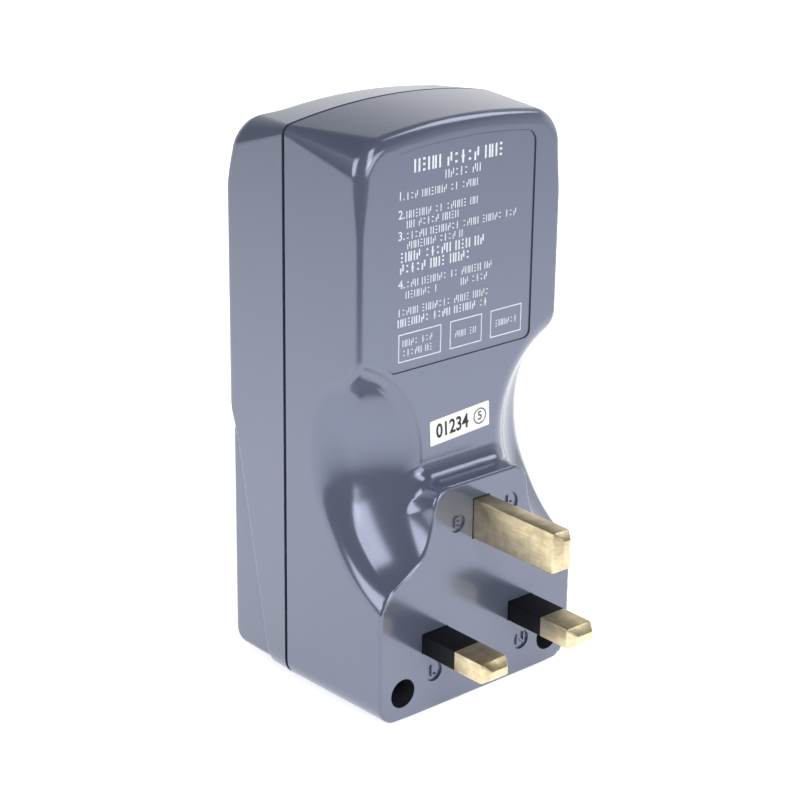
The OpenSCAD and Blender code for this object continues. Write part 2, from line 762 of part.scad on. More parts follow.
// Frame on the board: carries the button springs, guides the carriage and holds the flag's pivot
module switch_frame() {
    leg = 2;
    color("dimgray") difference() {
        union() {
            block(-frame_w / 2, frame_w / 2, frame_back, frame_front, frame_z, frame_top);
            for (x = [-frame_w / 2, frame_w / 2 - leg], z = [frame_z + 0.1, frame_top - leg])
                block(x, x + leg, board_front, frame_front, z, z + leg);
            for (x = guides_x) rod(x, button_z, board_front, frame_front, guide_d / 2);
            for (x = [reset_x - ear_x - ear_t, reset_x + ear_x])
                block(x, x + ear_t, frame_back, pivot_depth + 2, frame_top - 2, pivot_z + 2);
        }
        for (x = [reset_x, test_x]) rod(x, button_z, frame_back - over, frame_front + over, stem_r + 0.4);
        axle(reset_x - ear_x - ear_t - over, reset_x + ear_x + ear_t + over, pivot_depth, pivot_z, pivot_r + 0.02);
    }
}
module contact_carriage() {
    slot = pivot_depth;
    color("ivory") difference() {
        union() {
            block(reset_x - carriage_w / 2, reset_x + carriage_w / 2, carriage_back, carriage_front,
                button_z - carriage_h / 2, button_z + carriage_h / 2);
            block(reset_x - 2.5, reset_x + 2.5, carriage_back, carriage_front,
                button_z - contact_dz - 1.5, button_z + contact_dz + 1.5);
            for (d = [slot - horn_slot / 2 - horn_t, slot + horn_slot / 2])
                block(reset_x - horn_half, reset_x + horn_half, d, d + horn_t, button_z + contact_dz - 0.5, horn_top);
            block(reset_x - horn_half, reset_x + horn_half, carriage_front - horn_t, slot + horn_slot / 2 + horn_t,
                frame_top + 0.1, frame_top + 1);
        }
        for (x = guides_x) rod(x, button_z, carriage_back - over, carriage_front + over, guide_d / 2 + slide_gap);
    }
}
module armature() {
    color("gray") block(reset_x - pole_w / 2, reset_x + pole_w / 2, armature_back, carriage_back,
        button_z - magnet_h / 2, button_z + magnet_h / 2);
}
module moving_contacts() {
    color("peru") for (z = contact_z) {
        block(contact_x[0] - bar_end, contact_x[1] + bar_end, carriage_back - bar_t, carriage_back, z - bar_h / 2, z + bar_h / 2);
        for (x = contact_x) rod(x, z, carriage_back - bar_t - tip_h, carriage_back - bar_t / 2, tip_r);
    }
}
module fixed_contacts() {
    color("peru") for (z = contact_z, x = contact_x) {
        block(x - 1.2, x + 1.2, board_front, fixed_tip - tip_h, z - 0.8, z + 0.8);
        rod(x, z, fixed_tip - tip_h - 0.4, fixed_tip, tip_r);
    }
}
module magnet_core() {
    color("gray") {
        block(reset_x - pole_w / 2, reset_x + pole_w / 2, board_front, board_front + pole_t,
            button_z - magnet_h / 2, button_z + magnet_h / 2);
        for (z = [button_z - magnet_h / 2, button_z + magnet_h / 2 - pole_t * 0.8])
            block(reset_x - pole_w / 2, reset_x + pole_w / 2, board_front, pole_face, z, z + pole_t * 0.8);
        rod(reset_x, button_z, board_front, pole_face, core_d / 2);
    }
}
bobbin_t = 0.7;
bobbin_back = board_front + pole_t;
bobbin_front = pole_face - 0.4;
module coil_bobbin() {
    color("white") difference() {
        union() {
            rod(reset_x, button_z, bobbin_back, bobbin_front, core_d / 2 + fit_gap + bobbin_t);
            rod(reset_x, button_z, bobbin_back, bobbin_back + bobbin_t, coil_d / 2);
            rod(reset_x, button_z, bobbin_front - bobbin_t, bobbin_front, coil_d / 2);
        }
        rod(reset_x, button_z, bobbin_back - over, bobbin_front + over, core_d / 2 + fit_gap);
    }
}
module coil_winding() {
    color("chocolate") difference() {
        rod(reset_x, button_z, bobbin_back + bobbin_t, bobbin_front - bobbin_t, coil_d / 2 - 0.3);
        rod(reset_x, button_z, bobbin_back, bobbin_front, core_d / 2 + fit_gap + bobbin_t);
    }
}

module circuit_board() {
    color("darkgreen") difference() {
        slab(board_back, board_front) polygon(rounded(mirrored([[0, board_z, 0], [board_w / 2 - board_cut, board_z, 0],
            [board_w / 2, board_z + board_cut, 0], [board_w / 2, board_top, 0], [0, board_top, 0]])));
        for (p = board_screws_at) rod(p.x, p.y, board_back - over, board_front + over, board_screw_r + 0.3);
    }
}
// Ring round both load straps, standing on the socket base
module sensing_ring() {
    color("black") translate([0, -ring_depth, ring_z]) difference() {
        cylinder(h = ring_h, d = ring_d);
        translate([0, 0, -over]) cylinder(h = ring_h + 2 * over, d = ring_hole_d);
    }
}
// Copper turns round the front of the sensing ring
module sensing_winding() {
    t = 0.5;
    color("chocolate") translate([0, -ring_depth, ring_z]) rotate([0, 0, -120]) rotate_extrude(angle = 60)
        difference() {
            translate([ring_hole_d / 2 - t, 0]) square([(ring_d - ring_hole_d) / 2 + 2 * t, ring_h + t]);
            translate([ring_hole_d / 2, -t]) square([(ring_d - ring_hole_d) / 2, ring_h + t]);
        }
}
// Strap from a plug pin's tail up to the back of the board
module feed_strap(s) {
    mirror([s < 0 ? 1 : 0, 0, 0]) {
        block(feed_x - strap_w / 2, pin_x + strap_w / 2, feed_depth, feed_depth + strip_t, -2, 6);
        block(feed_x - strap_w / 2, feed_x + strap_w / 2, feed_depth, feed_depth + strip_t, -2, board_z + 4);
        block(feed_x - strap_w / 2, feed_x + strap_w / 2, feed_depth, board_back, board_z + 2.5, board_z + 4);
    }
}
module line_feed() { color("peru") feed_strap(1); }
module neutral_feed() { color("peru") feed_strap(-1); }
// Strap from the front of the board, down through the sensing ring, to a socket contact
module load_strap(s) {
    z_top = ring_z + ring_h + 1.2;
    z_low = base_top - shelf_t - 2.5;
    x0 = inner_strap_x - inner_strap_w / 2;
    x1 = inner_strap_x + inner_strap_w / 2;
    d = ring_depth;
    mirror([s < 0 ? 1 : 0, 0, 0]) {
        block(load_root_x - 1.5, load_root_x + 1.5, board_front, board_front + strip_t, z_top, board_z + 4);
        block(x0, load_root_x + 1.5, board_front, d + strip_t, z_top, z_top + strip_t);
        block(x0, x1, d, d + strip_t, z_low, z_top + strip_t);
        block(x0, pin_x + strap_w / 2, d, base_back, z_low - strip_t, z_low);
        block(pin_x - strap_w / 2, pin_x + strap_w / 2, base_back - strip_t, base_back, -1.5, z_low);
    }
}
module line_load() { color("peru") load_strap(1); }
module neutral_load() { color("peru") load_strap(-1); }
module earth_strap() {
    color("peru") {
        block(-strap_w / 2, strap_w / 2, tail_end, tail_end + strip_t, earth_z - 2, earth_bridge_z + strip_t);
        block(-strap_w / 2, strap_w / 2, tail_end, base_back, earth_bridge_z, earth_bridge_z + strip_t);
    }
}
tail_w = 3;
// Jaw pair for a line or neutral pin, with a tail through the socket base
module jaw_contact(x) {
    color("goldenrod") {
        block(x - jaw_half, x + jaw_half, base_front, base_front + strip_t, -jaw_gap / 2 - strip_t, jaw_gap / 2 + strip_t);
        for (z = [-jaw_gap / 2 - strip_t, jaw_gap / 2])
            block(x - jaw_half, x + jaw_half, base_front, jaw_front, z, z + strip_t);
        block(x - tail_w / 2, x + tail_w / 2, base_back, base_front + strip_t / 2, -strip_t / 2, strip_t / 2);
    }
}
module line_contact() { jaw_contact(pin_x); }
module neutral_contact() { jaw_contact(-pin_x); }
module earth_contact() {
    color("goldenrod") {
        for (x = [-jaw_gap / 2 - strip_t, jaw_gap / 2])
            block(x, x + strip_t, base_front, earth_jaw_front, earth_z - earth_jaw_low, earth_bridge_z + strip_t);
        block(-jaw_gap / 2 - strip_t, jaw_gap / 2 + strip_t, base_front, earth_jaw_front,
            earth_bridge_z, earth_bridge_z + strip_t);
        block(-tail_w / 2, tail_w / 2, base_back, base_front + strip_t, earth_bridge_z, earth_bridge_z + strip_t);
    }
}
// Insulating base behind the socket contacts, with a shelf for the sensing ring
module socket_base() {
    color("ivory") difference() {
        union() {
            block(-base_w / 2, base_w / 2, base_back, base_front, base_low, base_top);
            block(-ring_d / 2, ring_d / 2, feed_depth + strip_t + 0.4, base_back + 0.1, base_top - shelf_t, base_top);
        }
        translate([0, -ring_depth, base_top - shelf_t - over]) cylinder(h = shelf_t + 2 * over, d = ring_hole_d);
        for (p = base_screws_at) rod(p.x, p.y, base_back - over, base_front + over, base_screw_r + 0.2);
        for (x = [-pin_x, pin_x]) block(x - tail_w / 2 - fit_gap, x + tail_w / 2 + fit_gap, base_back - over,
            base_front + over, -strip_t / 2 - fit_gap, strip_t / 2 + fit_gap);
        block(-tail_w / 2 - fit_gap, tail_w / 2 + fit_gap, base_back - over, base_front + over,
            earth_bridge_z - fit_gap, earth_bridge_z + strip_t + fit_gap);
        block(-pin_t / 2 - 0.6, pin_t / 2 + 0.6, base_back - over, base_front + over,
            earth_z - earth_h / 2 - 0.6, earth_z + earth_h / 2 + 0.6);
    }
}
// Slide that covers the line and neutral apertures until an earth pin drives it down its ramp
module shutter() {
    color("white") {
        for (s = [-1, 1]) {
            near = s * arm_in;
            mid = s * bar_half;
            far = s * (pin_x + flap_w / 2);
            block(min(near, far), max(near, far), shutter_back, shutter_front, flap_low, flap_top);
            block(min(near, mid), max(near, mid), shutter_back, shutter_front, flap_low, bar_top);
        }
        block(-bar_half, bar_half, shutter_back, shutter_front, flap_top, bar_top);
        block(-ramp_w / 2, ramp_w / 2, shutter_back, shutter_front, flap_top, ramp_low);
        across(ramp_w) polygon([[-shutter_front, ramp_low - 3], [-shutter_front, ramp_low],
            [-ramp_back, ramp_top], [-ramp_back, ramp_low - 3]]);
    }
}

module test_leaf() {
    color("goldenrod") {
        block(test_x - test_w / 2, test_x + test_w / 2, leaf_front - leaf_t, leaf_front, button_z - leaf_low, button_z + leaf_up);
        block(test_x - test_w / 2, test_x + test_w / 2, board_front, leaf_front, button_z - leaf_low, button_z - leaf_low + strip_t);
    }
}
module test_terminal() {
    color("goldenrod") {
        block(test_x - test_w / 2, test_x + test_w / 2, terminal_front - strip_t, terminal_front, button_z - terminal_low, button_z + terminal_up);
        block(test_x - test_w / 2, test_x + test_w / 2, board_front, terminal_front, button_z + terminal_up - strip_t, button_z + terminal_up);
    }
}
module test_resistor() {
    r = 1.3;
    z = button_z + 8.5;
    color("tan") {
        axle(test_x - 4, test_x + 3, board_front + r + 0.2, z, r);
        axle(test_x - 5.2, test_x + 4.2, board_front + r + 0.2, z, 0.35);
        for (x = [test_x - 5.2, test_x + 3.5]) block(x, x + 0.7, board_front, board_front + r + 0.5, z - 0.35, z + 0.35);
    }
}
module control_chip() {
    x0 = test_x + 3.2;
    z0 = button_z - 2.2;
    color("black") {
        block(x0 + 1, x0 + 6, board_front + 0.5, board_front + 3, z0, z0 + 9);
        for (i = [0:3], x = [x0 + 0.6, x0 + 5.5])
            block(x, x + 0.9, board_front, board_front + 1.4, z0 + 0.5 + i * 2.2, z0 + 1.4 + i * 2.2);
    }
}
module surge_disc() {
    r = 4.2;
    depth = board_front + board_t + r;
    z0 = button_z - leaf_low + 1.8;
    x = test_x + 5;
    color("steelblue") {
        translate([x, -depth, z0]) cylinder(h = 3, r = r);
        for (dx = [-2.5, 2.1]) block(x + dx, x + dx + 0.5, board_front, depth - 2, z0 + 1.2, z0 + 1.8);
    }
}
module capacitor() {
    color("black") rod(4.5, board_top - 4.5, board_front, board_front + 9, 3);
}

rear_case();
front_case();
earth_pin();
line_pin();
neutral_pin();
line_sleeve();
neutral_sleeve();
rating_label();
date_sticker();
case_screws();
reset_button();
test_button();
reset_spring();
test_spring();
indicator_window();
indicator_flag();
flag_pin();
switch_frame();
contact_carriage();
moving_contacts();
fixed_contacts();
carriage_springs();
armature();
magnet_core();
coil_bobbin();
coil_winding();
circuit_board();
board_screws();
sensing_ring();
sensing_winding();
line_feed();
neutral_feed();
line_load();
neutral_load();
earth_strap();
line_contact();
neutral_contact();
earth_contact();
socket_base();
base_screws();
shutter();
shutter_spring();
test_leaf();
test_terminal();
test_resistor();
control_chip();
surge_disc();
capacitor();
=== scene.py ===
"""Looks of a plug-in residual-current adaptor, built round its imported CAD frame.

Sizes are in millimetres in the CAD frame: +Z up, the plug pins along +Y, the socket towards -Y.
"""

import logging
import math
from dataclasses import dataclass, field
from enum import Enum
from typing import Iterable, Optional, Sequence

import bmesh
import bpy
import numpy as np
from mathutils import Matrix, Vector


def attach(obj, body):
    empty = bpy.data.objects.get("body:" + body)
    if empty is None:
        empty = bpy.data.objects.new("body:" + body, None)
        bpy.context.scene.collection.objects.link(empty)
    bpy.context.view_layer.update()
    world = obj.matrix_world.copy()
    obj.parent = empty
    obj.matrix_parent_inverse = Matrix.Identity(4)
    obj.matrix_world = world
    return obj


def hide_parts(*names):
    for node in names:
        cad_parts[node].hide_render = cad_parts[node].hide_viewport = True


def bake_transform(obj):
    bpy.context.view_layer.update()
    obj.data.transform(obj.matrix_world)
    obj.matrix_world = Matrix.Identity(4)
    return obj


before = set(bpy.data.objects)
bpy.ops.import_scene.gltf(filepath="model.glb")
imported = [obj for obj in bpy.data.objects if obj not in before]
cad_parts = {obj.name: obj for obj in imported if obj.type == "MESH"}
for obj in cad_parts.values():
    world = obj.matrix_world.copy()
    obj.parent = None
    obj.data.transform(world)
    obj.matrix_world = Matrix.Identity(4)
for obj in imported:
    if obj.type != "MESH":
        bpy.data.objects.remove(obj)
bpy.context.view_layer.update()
LOG = logging.getLogger("adaptor")
MM = 0.001
CASE_BODY = "case"
LOOK = "look_"

# Places that several pieces share
PIN_X = 11.115
EARTH_Z = 22.23
LOW_SCREWS = (19.0, -8.75)
HIGH_SCREWS = (13.5, 88.0)
BACK = -6.5
FRONT = -45.75
BUTTON_X = 9.5
BUTTON_Z = 63.0
WINDOW_Z = 77.2
BOARD = -12.6


def linear(colour: str) -> tuple[float, float, float, float]:
    """Turns an sRGB hex colour to linear RGBA.

    Args:
        colour: Six hex digits.

    Returns:
        Red, green, blue and an alpha of one.
    """
    parts = [int(colour[i:i + 2], 16) / 255 for i in (0, 2, 4)]
    return (*(c / 12.92 if c <= 0.04045 else ((c + 0.055) / 1.055) ** 2.4 for c in parts), 1.0)


def add_node(tree: bpy.types.NodeTree, kind: str, inputs: Optional[dict] = None, out: int | str = 0,
             **settings) -> Optional[bpy.types.NodeSocket]:
    """Adds a node with its settings and links.

    Args:
        tree: Node tree to add to.
        kind: Node type.
        inputs: Values or sockets by input name or number.
        out: Name or number of the output that is wanted.
        **settings: Attributes of the node.

    Returns:
        That output, or None for a node that has none.
    """
    node = tree.nodes.new(kind)
    for name, value in settings.items():
        setattr(node, name, value)
    for name, value in (inputs or {}).items():
        if isinstance(value, bpy.types.NodeSocket):
            tree.links.new(value, node.inputs[name])
        else:
            node.inputs[name].default_value = value
    return node.outputs[out] if len(node.outputs) else None


class Grain(Enum):
    """How a surface was made, as the stretch of its pattern along X, Y and Z."""

    MOULDED = (1.0, 1.0, 1.0)
    DRAWN_ALONG_Y = (1.0, 0.06, 1.0)
    ROLLED_ALONG_Z = (1.0, 1.0, 0.08)
    WOUND_ROUND_Y = (0.05, 1.0, 0.05)
    WOUND_ROUND_Z = (0.05, 0.05, 1.0)


@dataclass(frozen=True)
class Finish:
    """One material: what it is, how it was made and what that gives the eye.

    Attributes:
        name: Material name.
        colour: sRGB hex colour.
        shade: sRGB hex colour of the darker patches.
        rough: Middle roughness.
        metallic: One for a metal.
        ior: Index of refraction.
        grain: How the surface was made.
        grain_mm: Size of the fine pattern.
        bump_mm: Height of the fine pattern.
        patch_mm: Size of the patches of shade.
        patch: Share of shade in the patches.
        speck: Share of shade in the fine pattern.
        gloss: Level of the mirror reflection, 0.5 for the index alone.
        gloss_tint: sRGB hex colour of the mirror reflection.
        clear: Transmission weight.
    """

    name: str
    colour: str
    shade: str
    rough: float
    metallic: float = 0.0
    ior: float = 1.5
    grain: Grain = Grain.MOULDED
    grain_mm: float = 0.4
    bump_mm: float = 0.004
    patch_mm: float = 6.0
    patch: float = 0.35
    speck: float = 0.0
    gloss: float = 0.5
    gloss_tint: str = "FFFFFF"
    clear: float = 0.0

    def material(self) -> bpy.types.Material:
        """Returns the finish as a material, made on its first use."""
        found = bpy.data.materials.get(LOOK + self.name)
        return found if found else self.make()

    def make(self) -> bpy.types.Material:
        """Builds the node tree.

        Returns:
            A material that reads Object coordinates.
        """
        made = bpy.data.materials.new(LOOK + self.name)
        made.use_nodes = True
        tree = made.node_tree
        tree.nodes.clear()
        place = add_node(tree, "ShaderNodeTexCoord", out="Object")
        along = add_node(tree, "ShaderNodeMapping", {"Vector": place, "Scale": self.grain.value})
        fine = add_node(tree, "ShaderNodeTexNoise", {
            "Vector": along, "Scale": 1 / (self.grain_mm * MM), "Detail": 3.0}, "Fac")
        wide = add_node(tree, "ShaderNodeTexNoise", {
            "Vector": place, "Scale": 1 / (self.patch_mm * MM), "Detail": 4.0}, "Fac")
        share = add_node(tree, "ShaderNodeMapRange", {
            "Value": wide, "From Min": 0.35, "From Max": 0.7, "To Min": 0.0, "To Max": self.patch})
        specks = add_node(tree, "ShaderNodeMapRange", {
            "Value": fine, "From Min": 0.45, "From Max": 0.7, "To Min": 0.0, "To Max": self.speck})
        shares = add_node(tree, "ShaderNodeMath", {0: share, 1: specks}, operation="ADD", use_clamp=True)
        tint = add_node(tree, "ShaderNodeMix", {
            0: shares, 6: linear(self.colour), 7: linear(self.shade)}, 2, data_type="RGBA")
        rough = add_node(tree, "ShaderNodeMapRange", {
            "Value": fine, "From Min": 0.3, "From Max": 0.7,
            "To Min": self.rough * 0.88, "To Max": self.rough * 1.12})
        bump = add_node(tree, "ShaderNodeBump", {
            "Height": fine, "Strength": 1.0, "Distance": self.bump_mm * MM})
        shader = add_node(tree, "ShaderNodeBsdfPrincipled", {
            "Base Color": tint, "Roughness": rough, "Normal": bump,
            "Metallic": self.metallic, "IOR": self.ior, "Specular IOR Level": self.gloss,
            "Specular Tint": linear(self.gloss_tint), "Transmission Weight": self.clear})
        add_node(tree, "ShaderNodeOutputMaterial", {"Surface": shader})
        return made


# Moulded ABS, spark-finished and buffed: blue-grey, with a soft gloss and a faint orange peel
CASE_ABS = Finish("case_abs", "555B6D", "505668", 0.17, ior=1.7, grain_mm=0.35, bump_mm=0.0015, patch_mm=14,
                  gloss=1.0, gloss_tint="DFE5FF")
# The same ABS left as moulded in the deep bores, its colour darkened as painted shade for the shade down the
# bores
BORE_PAINTED_SHADE = Finish("bore_painted_shade", "262931", "1E2027", 0.6, ior=1.5, grain_mm=0.35)
# The same ABS where it is printed: a flatter gloss
LABEL_FILM = Finish("label_film", "555B6D", "515769", 0.18, ior=1.7, grain_mm=0.25, bump_mm=0.0015,
                    patch_mm=12, gloss=1.0, gloss_tint="DFE5FF")
# Drawn and milled brass: pale, with grain along the pin and a little tarnish
PIN_BRASS = Finish("pin_brass", "E2D3B0", "8A7A54", 0.36, 1.0, grain=Grain.DRAWN_ALONG_Y, grain_mm=0.35,
                   bump_mm=0.01, patch_mm=2.4, patch=0.4, speck=0.2)
# Moulded nylon: black with a low sheen
SLEEVE_NYLON = Finish("sleeve_nylon", "0B0D13", "08090E", 0.48, ior=1.38, grain_mm=0.25, bump_mm=0.006,
                      gloss=0.3)
# Screen ink: flat white
PRINT_INK = Finish("print_ink", "E6E9F2", "D6DAE6", 0.55, grain_mm=0.3, bump_mm=0.002)
# Coated paper and its black print
STICKER_PAPER = Finish("sticker_paper", "F7F7F6", "F0F0EE", 0.5, grain_mm=0.2, bump_mm=0.003)
BLACK_INK = Finish("black_ink", "1B1B1E", "242428", 0.6, grain_mm=0.3, bump_mm=0.001)
# Zinc-plated steel and drawn spring wire
SCREW_ZINC = Finish("screw_zinc", "B9BBC0", "8D9096", 0.34, 1.0, grain_mm=0.2, bump_mm=0.004)
SPRING_WIRE = Finish("spring_wire", "A9ABB0", "74767B", 0.3, 1.0, grain_mm=0.12, bump_mm=0.003)
# Gloss ABS of the buttons and the flag
RESET_ABS = Finish("reset_abs", "2A4FA8", "23438F", 0.22, ior=1.53, grain_mm=0.35, bump_mm=0.0015)
TEST_ABS = Finish("test_abs", "E2B21E", "D2A214", 0.22, ior=1.53, grain_mm=0.35, bump_mm=0.0015)
FLAG_ABS = Finish("flag_abs", "EE6A12", "D95C0A", 0.3, ior=1.53, grain_mm=0.35)
# Clear polycarbonate of the indicator window
CLEAR_PC = Finish("clear_pc", "EEF4F6", "E6EEF0", 0.06, ior=1.58, grain_mm=0.5, bump_mm=0.0005, clear=1.0)
# Glass-filled nylon, ivory urea and white acetal of the inner mouldings
FRAME_NYLON = Finish("frame_nylon", "45464A", "3B3C40", 0.5, grain_mm=0.2, bump_mm=0.006)
IVORY_UREA = Finish("ivory_urea", "E6DFC8", "DAD2B8", 0.4, grain_mm=0.3, bump_mm=0.003)
WHITE_ACETAL = Finish("white_acetal", "EFEFEA", "E3E3DD", 0.38, grain_mm=0.3, bump_mm=0.003)
# Rolled copper strip, enamelled wire, plated iron and stamped brass
STRAP_COPPER = Finish("strap_copper", "C98A5E", "A46A42", 0.32, 1.0, grain=Grain.ROLLED_ALONG_Z,
                      grain_mm=0.15)
WOUND_COPPER = Finish("wound_copper", "A85424", "74330F", 0.35, 1.0, grain=Grain.WOUND_ROUND_Y, grain_mm=0.22,
                      bump_mm=0.05)
RING_COPPER = Finish("ring_copper", "A85424", "74330F", 0.35, 1.0, grain=Grain.WOUND_ROUND_Z, grain_mm=0.22,
                     bump_mm=0.05)
PLATED_IRON = Finish("plated_iron", "8E9094", "6C6E72", 0.36, 1.0, grain_mm=0.2)
STAMPED_BRASS = Finish("stamped_brass", "D2B36A", "A98B45", 0.3, 1.0, grain=Grain.DRAWN_ALONG_Y,
                       grain_mm=0.15)
# Glass-epoxy board, dipped and moulded component bodies
BOARD_EPOXY = Finish("board_epoxy", "1E5A33", "174828", 0.36, ior=1.55, grain_mm=0.5, bump_mm=0.004)
RING_NYLON = Finish("ring_nylon", "1B1B1D", "131315", 0.45, grain_mm=0.25)
RESISTOR_LACQUER = Finish("resistor_lacquer", "C9AE86", "B39770", 0.35, grain_mm=0.4)
CHIP_EPOXY = Finish("chip_epoxy", "18191B", "202124", 0.55, grain_mm=0.15, bump_mm=0.008)
DISC_EPOXY = Finish("disc_epoxy", "28539A", "204480", 0.3, grain_mm=0.5, bump_mm=0.008)

# CAD nodes that keep their own meshes
NODE_FINISHES: dict[str, Finish] = {
    "case_screws": SCREW_ZINC, "board_screws": SCREW_ZINC, "base_screws": SCREW_ZINC, "flag_pin": SCREW_ZINC,
    "indicator_flag": FLAG_ABS, "switch_frame": FRAME_NYLON,
    "contact_carriage": IVORY_UREA, "moving_contacts": STRAP_COPPER, "fixed_contacts": STRAP_COPPER,
    "armature": PLATED_IRON, "magnet_core": PLATED_IRON, "coil_bobbin": WHITE_ACETAL,
    "coil_winding": WOUND_COPPER,
    "circuit_board": BOARD_EPOXY, "sensing_ring": RING_NYLON, "sensing_winding": RING_COPPER,
    "line_feed": STRAP_COPPER, "neutral_feed": STRAP_COPPER, "line_load": STRAP_COPPER,
    "neutral_load": STRAP_COPPER, "earth_strap": STRAP_COPPER, "line_contact": STAMPED_BRASS,
    "neutral_contact": STAMPED_BRASS, "earth_contact": STAMPED_BRASS, "socket_base": IVORY_UREA,
    "shutter": WHITE_ACETAL, "test_terminal": STAMPED_BRASS,
    "test_resistor": RESISTOR_LACQUER, "control_chip": CHIP_EPOXY, "surge_disc": DISC_EPOXY,
    "capacitor": CHIP_EPOXY,
}


def ease(low: float, high: float, value: np.ndarray) -> np.ndarray:
    """Smooth step from 0 at low to 1 at high.

    Args:
        low: Value that gives 0.
        high: Value that gives 1.
        value: Values to map.

    Returns:
        Eased values.
    """
    t = np.clip((value - low) / (high - low), 0, 1)
    return t * t * (3 - 2 * t)


def keep_both(a: np.ndarray, b: np.ndarray, r: np.ndarray | float) -> np.ndarray:
    """Field of the overlap of two forms, with a rounded edge.

    Args:
        a: Field of one form, below zero inside.
        b: Field of the other.
        r: Edge radius.

    Returns:
        Field of the overlap.
    """
    return np.minimum(np.maximum(a, b), -r) + np.hypot(np.maximum(r + a, 0), np.maximum(r + b, 0))


def join_both(a: np.ndarray, b: np.ndarray, r: np.ndarray | float) -> np.ndarray:
    """Field of two forms together, with a filleted hollow; takes what keep_both takes."""
    return np.maximum(np.minimum(a, b), r) - np.hypot(np.maximum(r - a, 0), np.maximum(r - b, 0))


def rod(bm: bmesh.types.BMesh, x: float, z: float, y0: float, y1: float, r: float, sides: int = 40) -> None:
    """Adds a round bar along Y.

    Args:
        bm: Mesh to add to.
        x: Sideways place.
        z: Height.
        y0: One end.
        y1: Other end.
        r: Radius.
        sides: Facets round it.
    """
    turn = Matrix.Translation((x, (y0 + y1) / 2, z)) @ Matrix.Rotation(math.pi / 2, 4, "X")
    bmesh.ops.create_cone(bm, cap_ends=True, segments=sides, radius1=r, radius2=r, depth=abs(y1 - y0),
                          matrix=turn)


def bar(bm: bmesh.types.BMesh, low: Sequence[float], high: Sequence[float], edge: float = 0.0,
        segments: int = 2) -> None:
    """Adds a box between two corners, with rounded edges.

    Args:
        bm: Mesh to add to.
        low: Lowest corner.
        high: Highest corner.
        edge: Edge radius.
        segments: Facets across an edge.
    """
    size = [h - l for l, h in zip(low, high)]
    middle = [(h + l) / 2 for l, h in zip(low, high)]
    place = Matrix.Translation(middle) @ Matrix.Diagonal((*size, 1))
    verts = bmesh.ops.create_cube(bm, size=1, matrix=place)["verts"]
    if edge:
        edges = list({e for v in verts for e in v.link_edges})
        bmesh.ops.bevel(bm, geom=edges, offset=edge, affect="EDGES", segments=segments, profile=0.5,
                        material=-1)


def raise_faces(bm: bmesh.types.BMesh, faces: Sequence[bmesh.types.BMFace],
                step: Sequence[float]) -> list[bmesh.types.BMVert]:
    """Extrudes faces by a step.

    Args:
        bm: Mesh to change.
        faces: Faces to extrude.
        step: Way that the new faces move.

    Returns:
        Corners of the new faces.
    """
    grown = bmesh.ops.extrude_face_region(bm, geom=faces)["geom"]
    raised = [v for v in grown if isinstance(v, bmesh.types.BMVert)]
    bmesh.ops.translate(bm, verts=raised, vec=step)
    return raised


def add_mesh(bm: bmesh.types.BMesh, part: bmesh.types.BMesh) -> None:
    """Adds one mesh to another.

    Args:
        bm: Mesh to add to.
        part: Mesh to add, which is freed.
    """
    mesh = bpy.data.meshes.new("part")
    part.to_mesh(mesh)
    part.free()
    bm.from_mesh(mesh)
    bpy.data.meshes.remove(mesh)


def rectangle(width: float, height: float) -> list[tuple[float, float]]:
    """Corners of a centred rectangle, anticlockwise."""
    w, h = width / 2, height / 2
    return [(-w, -h), (w, -h), (w, h), (-w, h)]


def facing_back(x: float, y: float, z: float, turn: float = 0.0) -> Matrix:
    """Place of a flat shape that faces +Y, read from behind, turned by an angle in radians."""
    axes = Matrix(((-1, 0, 0, 0), (0, 0, 1, 0), (0, 1, 0, 0), (0, 0, 0, 1)))
    return Matrix.Translation((x, y, z)) @ axes @ Matrix.Rotation(turn, 4, "Z")


def facing_front(x: float, y: float, z: float) -> Matrix:
    """Place of a flat shape that faces -Y, read from the front."""
    axes = Matrix(((1, 0, 0, 0), (0, 0, -1, 0), (0, 1, 0, 0), (0, 0, 0, 1)))
    return Matrix.Translation((x, y, z)) @ axes


def letters(bm: bmesh.types.BMesh, words: str, size: float, depth: float, place: Matrix,
            bold: float = 0.0) -> None:
    """Adds centred letters with a depth.

    Args:
        bm: Mesh to add to.
        words: Characters to set.
        size: Character size.
        depth: Height of the letters.
        place: Where their middle sits.
        bold: Outward step of the strokes.
    """
    curve = bpy.data.curves.new("letters", "FONT")
    curve.body, curve.size, curve.extrude, curve.offset = words, size, depth / 2, bold
    curve.align_x, curve.align_y, curve.resolution_u = "CENTER", "CENTER", 4
    holder = bpy.data.objects.new("letters", curve)
    bpy.context.scene.collection.objects.link(holder)
    mesh = bpy.data.meshes.new_from_object(holder.evaluated_get(bpy.context.evaluated_depsgraph_get()))
    mesh.transform(place)
    bm.from_mesh(mesh)
    bpy.data.objects.remove(holder)
    bpy.data.curves.remove(curve)
    bpy.data.meshes.remove(mesh)


def plate(bm: bmesh.types.BMesh, points: Sequence[tuple[float, float]], corners: dict[int, float],
          depth: float, place: Matrix) -> None:
    """Adds a flat plate with rounded corners.

    Args:
        bm: Mesh to add to.
        points: Outline, in the plate's own plane.
        corners: Corner radius by the number of its point.
        depth: Thickness, below the plane.
        place: Where the plane sits.
    """
    part = bmesh.new()
    verts = [part.verts.new((u, v, -depth)) for u, v in points]
    part.faces.new(verts)
    for i, r in corners.items():
        bmesh.ops.bevel(part, geom=[verts[i]], offset=r, affect="VERTICES", segments=8, profile=0.5,
                        material=-1)
    raise_faces(part, list(part.faces), (0, 0, depth))
    bmesh.ops.recalc_face_normals(part, faces=part.faces)
    bmesh.ops.transform(part, matrix=place, verts=part.verts)
    add_mesh(bm, part)


